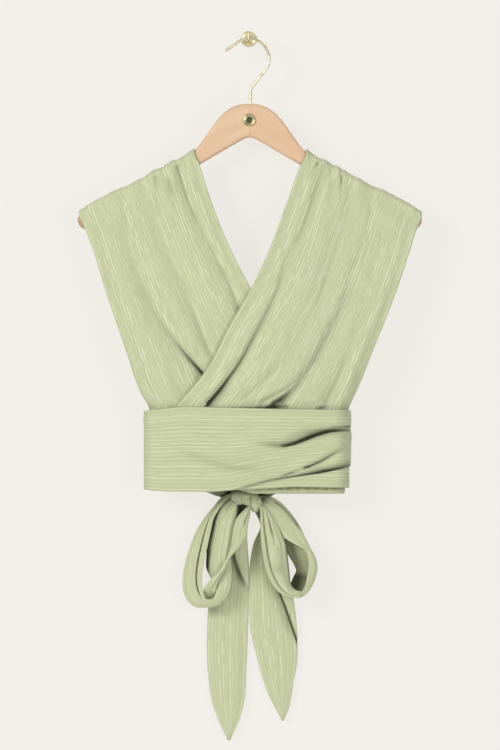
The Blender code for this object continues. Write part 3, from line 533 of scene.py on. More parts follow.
# A fold's path is (x, height) from the shoulder down. Its rise is that of the cloth on the path, a
# trough being negative, and it reaches as far as given on the path's own left and right.
Fold = namedtuple("Fold", "path start middle end left right")
LEFT_FOLDS = (
    Fold(((-93, -162), (-86, -184), (-70.5, -224), (-54, -259), (-29, -308), (-10, -345)),
         -3.0, -3.4, -2.2, 4.5, 10),
    Fold(((-80, -165), (-68, -200), (-50, -245), (-24, -296)), 0.8, 1.4, 0.6, 8, 8),
    Fold(((-112, -172), (-106, -188), (-99, -206), (-92, -228)), -2.2, -1.4, 0.0, 4, 6),
    Fold(((-128, -180), (-112, -232), (-92, -285), (-60, -345)), -0.9, -1.8, -0.8, 6, 10),
    Fold(((-163, -222), (-150, -276), (-133, -324), (-113, -363), (-94, -388), (-74, -414), (-60, -430)),
         -1.8, -3.8, -6.5, 4.5, 15),
    Fold(((-148, -262), (-128, -318), (-102, -366), (-76, -402)), 0.6, 1.6, 1.6, 8, 4),
    Fold(((-114, -252), (-101, -277), (-80, -325), (-54, -394)), -0.8, -2.4, -1.8, 6, 10),
    Fold(((-100, -425), (-87, -456)), -2.0, -2.5, -3.0, 12, 9),
    Fold(((-184, -262), (-166, -330), (-140, -400), (-118, -452)), -0.8, -1.4, -1.6, 8, 8),
    Fold(((-173, -240), (-150, -320), (-124, -385)), 0.6, 1.4, 0.8, 9, 9),
    Fold(((-138, -215), (-122, -285), (-96, -345), (-70, -388)), 0.6, 1.2, 2.0, 9, 8),
    Fold(((-118, -400), (-100, -440), (-88, -470)), 0.4, 1.2, 1.2, 9, 9),
)
BACK_FOLDS = (
    Fold(((-150, -210), (-118, -310), (-70, -400), (-20, -462)), -1.5, -2.5, -3.5, 10, 7),
    Fold(((-110, -185), (-78, -280), (-30, -372), (30, -455)), -1.2, -2.0, -2.5, 9, 6),
    Fold(((-180, -240), (-150, -330), (-112, -440)), 0.8, 1.5, 1.0, 14, 14),
    Fold(((-196, -262), (-168, -350), (-132, -440)), -0.6, -1.4, -1.8, 8, 8),
    Fold(((-88, -172), (-60, -250), (-12, -340)), 0.5, 1.2, 0.8, 9, 9),
)
# Painted shade in creases that little light gets into: the path, how dark it is painted along it, and its
# reach
LEFT_PAINTED_SHADE = (
    Fold(((-93, -158), (-87, -180), (-78, -208), (-66, -235)), 0.45, 0.40, 0.15, 1.2, 4),
    Fold(((-70.5, -224), (-54, -259), (-29, -308), (-14, -347)), 0.10, 0.22, 0.30, 1.5, 5),
    Fold(((-105, -176), (-101, -190), (-97, -202)), 0.05, 0.30, 0.05, 3, 5),
    Fold(((-124, -169), (-120, -182), (-116, -200)), 0.30, 0.20, 0.0, 1.2, 2.5),
    Fold(((-150, -276), (-133, -324), (-113, -363), (-98, -383)), 0.03, 0.15, 0.0, 2, 6),
    Fold(((-128, -338), (-113, -363), (-98, -383), (-85, -399), (-72, -414), (-59, -428)),
         0.0, 0.35, 1.2, 1.6, 5),
    Fold(((-101, -277), (-80, -325), (-60, -380), (-50, -404)), 0.03, 0.14, 0.30, 2, 5),
    Fold(((-163, -208), (-160, -225), (-154, -255)), 0.05, 0.12, 0.05, 2, 4),
)
# Gathers over the shoulder: distance out from the hanger's middle, height, half width
LEFT_GATHERS = ((76, 2.0, 6), (100, 3.4, 7), (123, 2.8, 6.5), (146, 2.2, 6), (168, 1.3, 8),
                (200, 0.5, 10))
LEFT_NOTCHES = ((89, -2.6, 2.4), (94, -1.2, 1.6), (113, -2.0, 2.2), (118, -0.8, 1.4),
                (134.5, -1.6, 2.2), (156, -1.0, 2.4), (84, 0.7, 1.8), (107, 0.7, 1.6), (129, 0.6, 1.6))
GATHER_LENGTH = 75.0
GATHER_SHARE = 0.62
NOTCH_SHARE = 0.5
NOTCH_LENGTH = 48.0
PANEL_COLUMNS = 116
FRONT_ROWS, ARM_ROWS, BACK_ROWS = 170, 12, 120
ROW_SPREAD = 0.95
# Sine waves of small pleats across a strip: count, height, wander, and slow waves along it
SMALL_PLEATS = ((7.3, 0.16, 0.2, 0.7), (13.1, 0.12, 0.2, 1.1), (23.7, 0.10, 0.2, 1.7))


def ramp(value, low, high):
    """A smooth step from 0 at low to 1 at high: t squared times three less two t."""
    t = np.clip((value - low) / (high - low), 0.0, 1.0)
    return t * t * (3 - 2 * t)


def read_table(table, value, column):
    """A column of a table against its first column, read by straight lines between rows."""
    rows = sorted(table, key=lambda row: row[0])
    return np.interp(value, [row[0] for row in rows], [row[column] for row in rows])


def fold_relief(x, z, folds):
    """Rise of the cloth: each fold gives its rise on its path, times the exponential of minus the
    square of the distance from the path over the fold's reach on that side."""
    relief = np.zeros_like(x)
    fractions = np.linspace(0, 1, 60)
    for fold in folds:
        path = smooth_path(fold.path, fractions)
        heading_x, heading_z = np.gradient(path, axis=0).T
        best = np.full(x.shape, 1e9)
        offset = np.zeros_like(x)
        where = np.zeros_like(x)
        for fraction, (px, pz), hx, hz in zip(fractions, path, heading_x, heading_z):
            away = np.hypot(x - px, z - pz)
            nearer = away < best
            best = np.where(nearer, away, best)
            offset = np.where(nearer, hx * (z - pz) - hz * (x - px), offset)
            where = np.where(nearer, fraction, where)
        reach = np.where(offset > 0, fold.left, fold.right)
        rise = np.interp(where, (0, 0.5, 1), (fold.start, fold.middle, fold.end))
        relief += rise * np.exp(-(best / reach) ** 2)
    return relief


def body_depth(x, z, radius):
    """Depth in front of the hanger's plane of a flat tube whose rounding grows towards the waist: the
    corner times the root of one less the square of the turn round the side, and a slight belly."""
    straight = read_table(SECTIONS, z, 1)
    swell = read_table(SECTIONS, z, 2)
    edge = read_table(SECTIONS, z, 3)
    corner = ARM_CURVE + (radius - ARM_CURVE) * swell
    out = np.abs(x - WAIST_X * swell - HANGER_X * (1 - swell))
    turn = np.clip((out - straight) / corner, 0.0, 0.995) * edge
    belly = WAIST_BELLY * swell * np.clip(1 - (out / straight) ** 2, 0.0, 1.0)
    return corner * np.sqrt(1 - turn**2) + belly


def edge_from_shoulder(edge, neck_x):
    """An edge of a panel, starting where the cloth leaves the arm below the shoulder line."""
    top = read_table(SHOULDER, abs(neck_x - HANGER_X), 1) - ARM_CURVE - CLOTH
    return ((neck_x, float(top)),) + edge


def panel_face(inner, outer, across, down, neck_shift=0.0, side_shift=0.0):
    """Patch of x and height between two edges: the blend across plus the blend down less the
    blend of the four corners."""
    s = across[None, :, None]
    t = down[:, None, None]
    easing = ramp(down, 0.0, 0.15)[:, None]
    inner_line = smooth_path(inner, down) + easing * (neck_shift, 0.0)
    outer_line = smooth_path(outer, down) + easing * (side_shift, 0.0)
    top_x = inner_line[0, 0] + (outer_line[0, 0] - inner_line[0, 0]) * across
    top_z = read_table(SHOULDER, np.abs(top_x - HANGER_X), 1) - ARM_CURVE - CLOTH
    top = np.stack((top_x, top_z), axis=-1)[None]
    bottom = inner_line[-1] + (outer_line[-1] - inner_line[-1]) * across[:, None]
    sides = (1 - s) * inner_line[:, None] + s * outer_line[:, None]
    ends = (1 - t) * top + t * bottom[None]
    corners = ((1 - s) * (1 - t) * inner_line[0] + s * (1 - t) * outer_line[0]
               + (1 - s) * t * inner_line[-1] + s * t * outer_line[-1])
    return sides + ends - corners


def slack_rise(x, z, folds, lift=0.0):
    """Rise of a panel off the flat tube: it hangs a little full, and is flat again at the waist."""
    full = SLACK_AT_SHOULDER + (SLACK_AT_WAIST - SLACK_AT_SHOULDER) * ramp(z, -250, -420)
    settled = 0.2 + 0.8 * ramp(z, WAIST_LINE - 3, WAIST_LINE + 14)
    return settled * np.maximum(fold_relief(x, z, folds) + full + lift, -3.0 * ramp(z, -235, -290))


def left_rise(x, z, folds):
    """Depth of the left panel's inner side in front of the hanger's plane."""
    return body_depth(x, z, LEFT_RADIUS) + slack_rise(x, z, folds)


def small_pleats(across, down, seed):
    """Soft lengthwise ripples: three sine waves across the strip, each of which wanders and swells
    on its own slow wave along the strip, and a low bead and groove along each edge."""
    s, t = across[None, :], down[:, None]
    ripple = np.zeros((len(down), len(across)))
    for count, height, wander, slow in SMALL_PLEATS:
        phase = seed + count * s + wander * np.sin(2 * math.pi * (slow * t + 0.31 * seed))
        swell = 0.6 + 0.4 * np.sin(2 * math.pi * (slow * 1.7 * t + 1.9 * s + 0.17 * seed))
        ripple += height * swell * np.sin(2 * math.pi * phase)
    hem = 0.3 * np.exp(-((s - 0.985) / 0.014) ** 2) - 0.35 * np.exp(-((s - 0.955) / 0.010) ** 2)
    fold = 0.5 * np.exp(-(s / 0.02) ** 2) - 0.35 * np.exp(-((s - 0.045) / 0.012) ** 2)
    return ripple * ramp(s, 0, 0.05) * ramp(s, 1, 0.92) + hem + fold


def panel_side(z, depth_in_front, gathers, pleats):
    """Distance out from the hanger's plane: the arm's curve at the top, settling to the body."""
    settle = ramp(z, z[0], z[0] - 25)
    pleats = pleats * ramp(z, WAIST_LINE, -455)
    return ARM_CURVE + (depth_in_front - ARM_CURVE) * settle + gathers + pleats


def panel_grid(inner, outer, neck_x, armhole_x, rise, back_rise, gather_table, notches, painted_shade_paths, seed):
    """One strip from its tuck up the front, over the arm and down the back to its tuck, with the
    lengths across and along its stripes and the shade painted into its creases."""
    side = math.copysign(1.0, armhole_x)
    across = np.linspace(0, 1, PANEL_COLUMNS)
    inner = edge_from_shoulder(inner, neck_x)
    outer = edge_from_shoulder(outer, armhole_x)
    down = np.linspace(0, 1, FRONT_ROWS) ** ROW_SPREAD
    front = panel_face(inner, outer, across, down)
    x, z = front[..., 0], front[..., 1]
    out = np.abs(x - HANGER_X)
    gathers = sum(height * np.exp(-((out - at) / width) ** 2) for at, height, width in gather_table)
    sharp = sum(height * np.exp(-((out - at) / width) ** 2) for at, height, width in notches)
    gathers = GATHER_SHARE * gathers * ramp(z, z[0] - GATHER_LENGTH, z[0]) ** 1.5
    sharp = NOTCH_SHARE * sharp * ramp(z, z[0] - NOTCH_LENGTH, z[0] - 4)
    pleats = small_pleats(across, down, seed)
    out = panel_side(z, rise(x, z), np.maximum(gathers + sharp, 0.0), pleats)
    front_side = np.stack((x, -(WIRE_DEPTH + out), z), axis=-1)[::-1]
    front_painted_shade = fold_relief(x, z, painted_shade_paths)[::-1]
    turn = np.linspace(0, math.pi, ARM_ROWS + 2)[1:-1, None]
    over_radius = out[0]
    over = np.stack((np.broadcast_to(x[0], (ARM_ROWS, PANEL_COLUMNS)),
                     -WIRE_DEPTH - over_radius * np.cos(turn),
                     z[0] + over_radius * np.sin(turn)), axis=-1)
    back_down = np.linspace(0, 1, BACK_ROWS) ** ROW_SPREAD
    back = panel_face(inner, outer, across, back_down, side * BACK_NECK_SHIFT, -side * BACK_SIDE_SHIFT)
    x, z = back[..., 0], back[..., 1]
    fade = (over_radius - ARM_CURVE) * ramp(z, z[0] - GATHER_LENGTH, z[0])
    pleats = small_pleats(across, back_down, seed + 0.4) * ramp(z, z[0], z[0] - 40)
    out = panel_side(z, back_rise(x, z), fade, pleats)
    back_side = np.stack((x, -(WIRE_DEPTH - out), z), axis=-1)
    grid = np.concatenate((front_side, over, back_side))
    along = lengths_along(grid[:, len(across) // 2]) * MM
    threads = np.stack(np.broadcast_arrays(across[None, :] * STRIP_FLAT[0], along[:, None]), -1)
    painted_shade = np.zeros(grid.shape[:2])
    painted_shade[:len(front_painted_shade)] = front_painted_shade
    return grid, threads, painted_shade


def crinkle_cloth():
    """Node group of the cloth. Threads are lengths across and along it. Stripes stand one in each
    pitch, off its middle by a random amount, broken into dashes with soft ends by a noise along the
    stripe, of which Cover is the share that shows; between them the cloth sinks to a shallow groove,
    as deep as Ribs, which is also painted darker as painted shade, and is crinkled by a noise drawn
    out along the stripes. Little light gets into a crease, so the painted shade input paints it dark."""
    group, source, result = surface_group("crinkle_cloth", (
        ("Threads", "Vector"), ("Pitch", "Float"), ("Dash", "Float"), ("Stripes", "Float"),
        ("Crinkle", "Float"), ("Cover", "Float"), ("Ribs", "Float"), ("PaintedShade", "Float")))
    part = add_node(group, "ShaderNodeSeparateXYZ", {0: source["Threads"]})
    across, along = part.outputs["X"], part.outputs["Y"]

    def compute(operation, *values):
        """Output of a Math node in the group."""
        return calculate(group, operation, *values)

    def stretched_noise(across_size, along_size, detail, depth=0.0):
        """Noise with the given grain across and along the stripes, in metres."""
        place = add_node(group, "ShaderNodeCombineXYZ", {
            0: compute("DIVIDE", across, across_size),
            1: compute("DIVIDE", along, along_size), 2: depth}).outputs[0]
        noise = add_node(group, "ShaderNodeTexNoise", {"Vector": place, "Scale": 1.0, "Detail": detail,
                                                       "Roughness": 0.55})
        return noise.outputs["Fac"]

    wander = stretched_noise(0.03, 0.2, 1.0, 5.0)
    moved = compute("MULTIPLY_ADD", wander, 0.0008, across)

    def stripes(pitch, width, dash, seed):
        """Mask of broken stripes at a pitch."""
        place = compute("DIVIDE", moved, pitch)
        cell = compute("ADD", compute("FLOOR", place), seed)
        chance = add_node(group, "ShaderNodeTexWhiteNoise", {"W": cell},
                          noise_dimensions="1D").outputs["Value"]
        spread = compute("MULTIPLY_ADD", source["Cover"], -0.5, 0.55)
        middle = compute("MULTIPLY_ADD", compute("SUBTRACT", chance, 0.5), spread, 0.5)
        off = compute("ABSOLUTE", compute("SUBTRACT", compute("FRACT", place), middle))
        line = stepped(group, compute("MULTIPLY", off, pitch), width * 0.4, width, 1.0, 0.0)
        dash_place = add_node(group, "ShaderNodeCombineXYZ", {
            0: compute("MULTIPLY", cell, 7.31), 1: compute("DIVIDE", along, dash)}).outputs[0]
        dash_noise = add_node(group, "ShaderNodeTexNoise", {"Vector": dash_place, "Scale": 1.0,
                                                            "Detail": 1.5})
        ends = compute("MULTIPLY_ADD", source["Cover"], -0.3, 0.6)
        broken = stepped(group, dash_noise.outputs["Fac"], ends, compute("ADD", ends, 0.09))
        weight = stepped(group, compute("FRACT", compute("MULTIPLY", chance, 7.7)), 0.0, 0.9, 0.15, 1.0)
        return compute("MULTIPLY", compute("MULTIPLY", line, broken), weight)

    bold = stripes(source["Pitch"], 0.00055, source["Dash"], 0.5)
    half_pitch = compute("MULTIPLY", source["Pitch"], 0.47)
    faint = stripes(half_pitch, 0.0005, compute("MULTIPLY", source["Dash"], 0.7), 40.5)
    stripe = compute("MINIMUM", compute("MULTIPLY_ADD", faint, 0.45, bold), 1.0)
    stripe = compute("MULTIPLY", stripe, source["Stripes"])
    crinkle = stretched_noise(0.0011, 0.006, 3.0)
    broad = stretched_noise(0.0045, 0.05, 2.0, 9.0)
    cloudy = stretched_noise(0.05, 0.11, 2.0, 3.0)
    ground = blend_colour(group, stepped(group, crinkle, 0.3, 0.7), (0.520, 0.563, 0.338, 1),
                          (0.550, 0.592, 0.363, 1))
    ground = blend_colour(group, stepped(group, broad, 0.35, 0.7, 0.0, 0.08), ground,
                          (0.595, 0.632, 0.405, 1))
    # Grooves between the stripes: sunk in the bump, and painted darker as painted shade
    turn = compute("MULTIPLY", compute("DIVIDE", moved, source["Pitch"]), 2 * math.pi)
    wave = compute("MULTIPLY_ADD", compute("COSINE", turn), 0.5, 0.5)
    groove_and_shade = compute("MULTIPLY", wave, source["Ribs"])
    ground = blend_colour(group, compute("MULTIPLY", groove_and_shade, 0.3), ground, (0.42, 0.46, 0.26, 1))
    ground = blend_colour(group, stepped(group, cloudy, 0.3, 0.7, 0.0, 0.15), ground,
                          (0.50, 0.54, 0.33, 1))
    colour = blend_colour(group, stripe, ground, (0.83, 0.86, 0.64, 1))
    # Painted shade in the creases: near black where the painted shade attribute is 1
    colour = blend_colour(group, source["PaintedShade"], colour, (0.035, 0.040, 0.020, 1))
    height = compute("MULTIPLY_ADD", compute("SUBTRACT", crinkle, 0.5), source["Crinkle"],
                     compute("MULTIPLY", broad, 0.4))
    height = compute("MULTIPLY_ADD", groove_and_shade, -0.8, height)
    group.links.new(colour, result["Color"])
    group.links.new(compute("MULTIPLY_ADD", stripe, -0.15, 0.86), result["Roughness"])
    group.links.new(compute("MULTIPLY_ADD", stripe, 0.4, height), result["Height"])
    return group


def cloth_material(name, pitch, dash, stripes, crinkle, cover, ribs):
    """Crinkle cloth with its own stripes: their spacing, length, strength and share that shows, the
    depth of the crinkle and that of the grooves between them."""
    material, tree, shader = new_material(name)
    threads = add_node(tree, "ShaderNodeUVMap", uv_map="threads").outputs["UV"]
    # The shade painted into the creases, read from the mesh
    painted_shade = add_node(tree, "ShaderNodeAttribute", attribute_name="painted_shade").outputs["Fac"]
    show_group(tree, shader, CRINKLE_CLOTH, {
        "Threads": threads, "PaintedShade": painted_shade, "Pitch": pitch, "Dash": dash, "Stripes": stripes,
        "Crinkle": crinkle, "Cover": cover, "Ribs": ribs}, 0.35, 0.0004)
    shader.inputs["Specular IOR Level"].default_value = 0.2
    shader.inputs["Sheen Weight"].default_value = 0.12
    shader.inputs["Sheen Roughness"].default_value = 0.5
    return material


def add_cloth(name, grid, threads, painted_shade, material, nodes, closed=False,
              flip=False):
    """Sheet of cloth of even thickness, laid on the outer side of a grid of points."""
    mesh = surface_mesh(name, grid, threads, closed, flip, painted_shade)
    piece = add_piece(name, mesh, material, "cloth", *nodes)
    wall = piece.modifiers.new("Cloth thickness", "SOLIDIFY")
    wall.thickness = SHELL * MM
    wall.offset = 1.0
    return piece


CRINKLE_CLOTH = crinkle_cloth()
panel_cloth = cloth_material("panel_cloth", 0.0044, 0.028, 0.95, 1.0, 0.55, 0.45)
grid, threads, painted_shade = panel_grid(LEFT_INNER, LEFT_OUTER, LEFT_NECK, LEFT_ARMHOLE,
                                   lambda x, z: left_rise(x, z, LEFT_FOLDS),
                                   lambda x, z: left_rise(x, z, BACK_FOLDS), LEFT_GATHERS,
                                   LEFT_NOTCHES, LEFT_PAINTED_SHADE, 0.0)
add_cloth("left_strip", grid, threads, painted_shade, panel_cloth,
          ["left_panel"], flip=True)

# The right panel. The other strip, the same in cut and cloth. It crosses over the left one above the
# waist, front and back, and its front edge is turned in a soft roll beside a deep crease.
RIGHT_RADIUS = 16.5
RIGHT_LIFT = 4.0
RIGHT_INNER = ((66, -163.7), (50.6, -205.3), (19.5, -286.2), (2.4, -321.9), (-25.5, -370.8),
               (-53.5, -424), (-76, -453), (-92, -471), (-101, TUCK))
RIGHT_OUTER = ((214.3, -245.9), (205.7, -273.8), (190.2, -320.4), (154.9, -410.1), (138, -452),
               (127, -474), (124.5, TUCK))
RIGHT_NECK = 73.2
RIGHT_ARMHOLE = 221.0
RIGHT_FOLDS = (
    Fold(((95, -160), (83.6, -195), (71.8, -232), (61, -260), (47, -285), (34, -324), (18, -359),
          (2.6, -387), (-15, -418), (-31, -440), (-52, -465)), -1.8, -2.6, -6.0, 11, 3),
    Fold(((88, -190), (60, -262), (29, -330), (-2, -385), (-36, -438), (-58, -466)), 0.8, 1.6, 2.4, 8, 9),
    Fold(((159, -198), (148, -261), (133.5, -285), (120, -335), (100, -379), (83, -412), (63, -440),
          (43, -455), (20, -467)), -1.2, -2.6, -7.5, 13, 4),
    Fold(((140, -262), (124, -320), (92, -378), (58, -428), (20, -455), (-4, -466)), 0.6, 1.6, 2.0, 7, 10),
    Fold(((133.5, -192), (127.6, -214), (117, -247), (104, -283), (85, -344), (69, -367), (43, -410),
          (17, -438), (-11, -461)), -1.8, -1.4, -1.8, 7, 5),
    Fold(((150, -336), (129, -387), (110, -438), (91, -472)), -0.5, -1.5, -3.5, 9, 5),
    Fold(((190, -225), (175, -300), (140, -400), (118, -470)), 0.5, 1.2, 1.0, 12, 12),
    Fold(((204, -262), (186, -322), (158, -392), (134, -450)), -0.6, -1.2, -1.4, 7, 7),
    Fold(((176, -222), (163, -285), (142, -345)), -0.8, -1.3, 0.0, 7, 7),
    Fold(((112, -190), (98, -240), (80, -296), (58, -345)), 0.5, 1.2, 0.4, 8, 8),
)
# Painted shade in the right panel's creases, listed as for the left panel
RIGHT_PAINTED_SHADE = (
    Fold(((95, -160), (83.6, -195), (71.8, -232), (61, -260)), 0.30, 0.25, 0.10, 4, 1.2),
    Fold(((61, -260), (47, -285), (34, -324), (18, -359), (2.6, -387), (-15, -418), (-31, -440),
          (-54, -467)), 0.05, 0.38, 1.3, 4.2, 1.2),
    Fold(((-26, -434), (-38, -450), (-54, -467)), 0.0, 0.50, 0.60, 9, 1.2),
    Fold(((148, -261), (133.5, -285), (120, -335), (100, -379), (83, -412)), 0.05, 0.20, 0.30, 6, 1.5),
    Fold(((86, -407), (70, -432), (58, -446), (44, -458), (30, -466)), 0.0, 0.35, 0.75, 6, 1.8),
    Fold(((54, -452), (45, -460), (34, -468), (24, -472)), 0.05, 0.45, 0.3, 8, 3),
    Fold(((-22, -474.5), (5, -474), (24, -472.8), (48, -471.5)), 0.50, 0.90, 0.50, 2.0, 4),
    Fold(((82, -475), (92, -473), (102, -471.5)), 0.10, 0.80, 0.10, 1.8, 4),
    Fold(((91.5, -151), (88, -160), (84, -168)), 0.30, 0.85, 0.10, 1.3, 1.3),
    Fold(((118.5, -172), (118, -180), (117, -191)), 0.20, 0.85, 0.20, 1.2, 1.2),
    Fold(((127.6, -214), (117, -247), (104, -283), (85, -344)), 0.05, 0.16, 0.08, 4, 1.5),
    Fold(((69, -367), (43, -410), (17, -438), (-8, -460)), 0.05, 0.15, 0.25, 4, 1.5),
    Fold(((148, -336), (129, -387), (110, -438), (96, -466)), 0.03, 0.15, 0.35, 4, 1.5),
)
RIGHT_GATHERS = ((74, 2.2, 6), (96, 3.2, 6.5), (114, 2.6, 5.5), (142, 2.0, 8), (170, 1.1, 8),
                 (198, 0.4, 9))
RIGHT_NOTCHES = ((86, -3.0, 2.2), (91, -1.2, 1.5), (105, -1.6, 2.0), (117, -2.8, 2.0), (131, -1.8, 2.4),
                 (157, -1.0, 2.4), (101, 0.7, 1.5), (122, 0.8, 1.6))


def mirrored(folds):
    """The same folds on the other side of the body."""
    return tuple(fold._replace(path=tuple((-x, z) for x, z in fold.path), left=fold.right,
                               right=fold.left) for fold in folds)


def right_rise(x, z, folds, under_folds):
    """Depth of the right panel's inner side, raised clear of the left panel as far as that one goes."""
    crossing = ramp(x, 120, 50) * ramp(z, -190, -270)
    own = body_depth(x, z, RIGHT_RADIUS) + slack_rise(x, z, folds, RIGHT_LIFT * crossing)
    under = left_rise(x, z, under_folds) + CLOTH + 2 * SEAM_GAP
    edge = read_table([(height, across) for across, height in LEFT_INNER], z, 1)
    over_left = ramp(x, edge + 26, edge + 3) * ramp(z, WAIST_LINE - 2, WAIST_LINE + 4)
    return own + np.maximum(under - own, 0) * over_left


back_right = mirrored(BACK_FOLDS)
grid, threads, painted_shade = panel_grid(RIGHT_INNER, RIGHT_OUTER, RIGHT_NECK, RIGHT_ARMHOLE,
                                   lambda x, z: right_rise(x, z, RIGHT_FOLDS, LEFT_FOLDS),
                                   lambda x, z: right_rise(x, z, back_right, BACK_FOLDS),
                                   RIGHT_GATHERS, RIGHT_NOTCHES, RIGHT_PAINTED_SHADE, 0.37)
add_cloth("right_strip", grid, threads, painted_shade, panel_cloth,
          ["right_panel"])

# The shirred band. A tube of the same cloth round the waist, drawn up on rows of elastic thread into
# fine upright ribs. The wraps cover it but for a strip along its lower edge.
SMOCKED_RADIUS = 12.2
SMOCKED_TOP = -482.0
SMOCKED_HEM = ((-134, -578.5), (-12, -579), (6, -583.6), (131, -583.6))
SMOCKED_HEM_BACK = -580.0
SMOCKED_RIBS = 250
RIB_STEPS = 5
RIB_HEIGHT = 0.9
BAND_FLAT = (0.66, 0.10)
ELASTIC_PITCH = 7.0
UNDER_HEM_AT_BAND = -575.6


def waist_outline(radius, front_steps, side_steps, back_steps):
    """Points round the waist tube from its front left corner: x, depth, and outward direction. Half
    circles join the front and back, which bulge by the belly times one less the square of the share
    out from the middle."""
    front_x = np.linspace(-WAIST_STRAIGHT, WAIST_STRAIGHT, front_steps, endpoint=False)
    back_x = np.linspace(WAIST_STRAIGHT, -WAIST_STRAIGHT, back_steps, endpoint=False)
    right = np.linspace(math.pi / 2, -math.pi / 2, side_steps, endpoint=False)
    left = np.linspace(-math.pi / 2, -3 * math.pi / 2, side_steps, endpoint=False)
    centre = np.concatenate((front_x, np.full(side_steps, WAIST_STRAIGHT), back_x,
                             np.full(side_steps, -WAIST_STRAIGHT)))
    angle = np.concatenate((np.full(front_steps, math.pi / 2), right,
                            np.full(back_steps, -math.pi / 2), left))
    out_x, out_d = np.cos(angle), np.sin(angle)
    belly = WAIST_BELLY * np.clip(1 - (centre / WAIST_STRAIGHT) ** 2, 0, 1) * np.sign(out_d)
    return WAIST_X + centre + radius * out_x, WIRE_DEPTH + radius * out_d + belly, out_x, out_d


def ring_threads(x, depth, across):
    """Lengths across and along the stripes of cloth that is wound round the waist."""
    loop = np.stack((np.append(x, x[0]), np.append(depth, depth[0])), -1)
    along = lengths_along(loop) * MM
    return np.stack(np.broadcast_arrays(across[:, None], along[None, :]), -1)


steps = RIB_STEPS * SMOCKED_RIBS
front_steps = round(steps * 0.42)
side_steps = steps // 2 - front_steps
x, depth, out_x, out_d = waist_outline(SMOCKED_RADIUS, front_steps, side_steps, front_steps)
front = ramp(out_d, -0.5, 0.5)
hem = front * read_table(SMOCKED_HEM, x, 1) + (1 - front) * SMOCKED_HEM_BACK
share = np.linspace(0, 1, 30)[:, None]
z = hem + (SMOCKED_TOP - hem) * share
rib_turn = 2 * math.pi * (np.arange(steps) / RIB_STEPS + 0.12 * np.sin(np.arange(steps) * 0.031))
pinch = 0.65 - 0.35 * np.cos(2 * math.pi * (z - hem) / ELASTIC_PITCH)
rib = 0.5 + 0.5 * np.sin(rib_turn + 0.5 * np.sin(0.9 * z))
rise = RIB_HEIGHT * pinch * rib
grid = np.stack((x + rise * out_x, -(depth + rise * out_d), z), -1)
threads = ring_threads(x, depth, share[:, 0] * BAND_FLAT[1])[..., ::-1]
band_cloth = cloth_material("band_cloth", 0.0021, 0.02, 0.4, 1.2, 0.6, 0.6)
# Painted shadow: a dark line under the inner wrap's hem on the front right, and painted shade between the
# ribs
hem_shadow_paint = np.exp(-((z - UNDER_HEM_AT_BAND) / 1.5) ** 2) * (0.75 + 0.25 * np.sin(x / 1.9))
rib_shade_paint = (1 - rib) ** 2 * (0.7 + 0.3 * np.sin(x / 6.1))
painted_shade = np.maximum(front * 0.9 * ramp(x, 12, 40) * hem_shadow_paint, 0.8 * rib_shade_paint)
add_cloth("shirred_band", grid, threads, painted_shade, band_cloth,
          ["smocked_band"], closed=True)

# The under wrap. The first turn of the strips round the waist, over the band. Only its lower edge
# shows on the front, under the outer turn on the right.
UNDER_RADIUS = 18.4
UNDER_HEM = ((-134, -577.5), (0, -578.2), (27, -577.2), (57, -574.9), (77, -574.9), (128, -576.5))
UNDER_TOP = -484.0
UNDER_FLAT = (0.095, 0.56)
x, depth, out_x, out_d = waist_outline(UNDER_RADIUS, 200, 30, 120)
share = np.linspace(0, 1, 26)[:, None]
hem = read_table(UNDER_HEM, x, 1) + 0.3 * np.sin(x / 17.0)
z = hem + (UNDER_TOP - hem) * share
rise = 0.2 + 0.2 * np.sin(x / 9.0 + z / 6.0) * share
grid = np.stack((x + rise * out_x, -(depth + rise * out_d), z), -1)
wrap_cloth = cloth_material("wrap_cloth", 0.0048, 0.042, 0.62, 1.2, 0.78, 0.9)
threads = ring_threads(x, depth, share[:, 0] * UNDER_FLAT[0])
add_cloth("inner_wrap", grid, threads, 0.0, wrap_cloth,
          ["under_wrap"], closed=True)

# The over wrap. The outer turn, pulled tight to the right and tucked: smooth and finely ribbed on the
# left, and on the right drawn into folds that run together at the side seam.
OVER_RADIUS = 20.0
WRAP_TOP = ((-134, -478), (-84, -472.3), (-15, -474), (44, -475.5), (131, -477))
WRAP_HEM = ((-134, -578), (-110, -580.5), (-46, -581), (-23, -579.3), (-10, -576), (9, -570.5),
            (28, -566), (47, -563.5), (67, -560.5), (88, -557.8), (106, -554.5), (131, -548))
WRAP_HEM_BACK = -577.5
# Share of the width from the hem up, and how far that row of threads is drawn up on the right side
WRAP_FAN = ((0, 0), (0.12, 1.5), (0.3, 3.0), (0.45, 0), (0.6, -3.5), (0.75, -5.0), (1, 0))
# Paths run from left to right, so a fold's left is above it and its right below
WRAP_FOLDS = (
    Fold(((-70, -500), (30, -505), (80, -512), (136, -510)), 0.6, 5.0, 5.5, 30, 40),
    Fold(((25, -502), (66, -495), (97, -492), (136, -492)), 0.0, 1.8, 2.0, 12, 5),
    Fold(((6, -520), (32, -524.5), (50, -522.5), (63, -518.5), (78, -513), (95, -507.5), (133, -501.5)),
         -1.0, -6.0, -4.5, 7, 3),
    Fold(((40, -531), (62, -526), (75, -520.5), (97, -513.5), (118, -508), (133, -506)),
         0.6, 2.8, 2.0, 2.8, 12),
    Fold(((50, -558), (70, -547.5), (85, -541), (100, -532.5), (118, -522)), 0.4, 2.6, 1.6, 12, 1.8),
    Fold(((60, -554.5), (71, -549.8), (80, -546.5), (96, -538.8), (116, -527.5)), -1.0, -5.0, -3.0, 2.2, 6),
    Fold(((-92, -523), (-54, -538.5), (-15, -549), (14, -549), (46, -543), (78, -530)),
         -0.6, -2.6, -0.8, 10, 5),
    Fold(((-110, -534), (-60, -553), (-15, -561), (30, -559)), 0.3, 1.6, 1.0, 7, 10),
    Fold(((-120, -548), (-70, -566), (-10, -571)), 0.4, 1.0, 0.6, 8, 8),
    Fold(((-126, -488), (-40, -487), (60, -487), (132, -486)), 0.3, 0.8, 0.8, 10, 10),
    Fold(((20, -568), (67, -560.5), (106, -554), (131, -548)), -0.6, -3.6, -3.0, 5, 8),
)
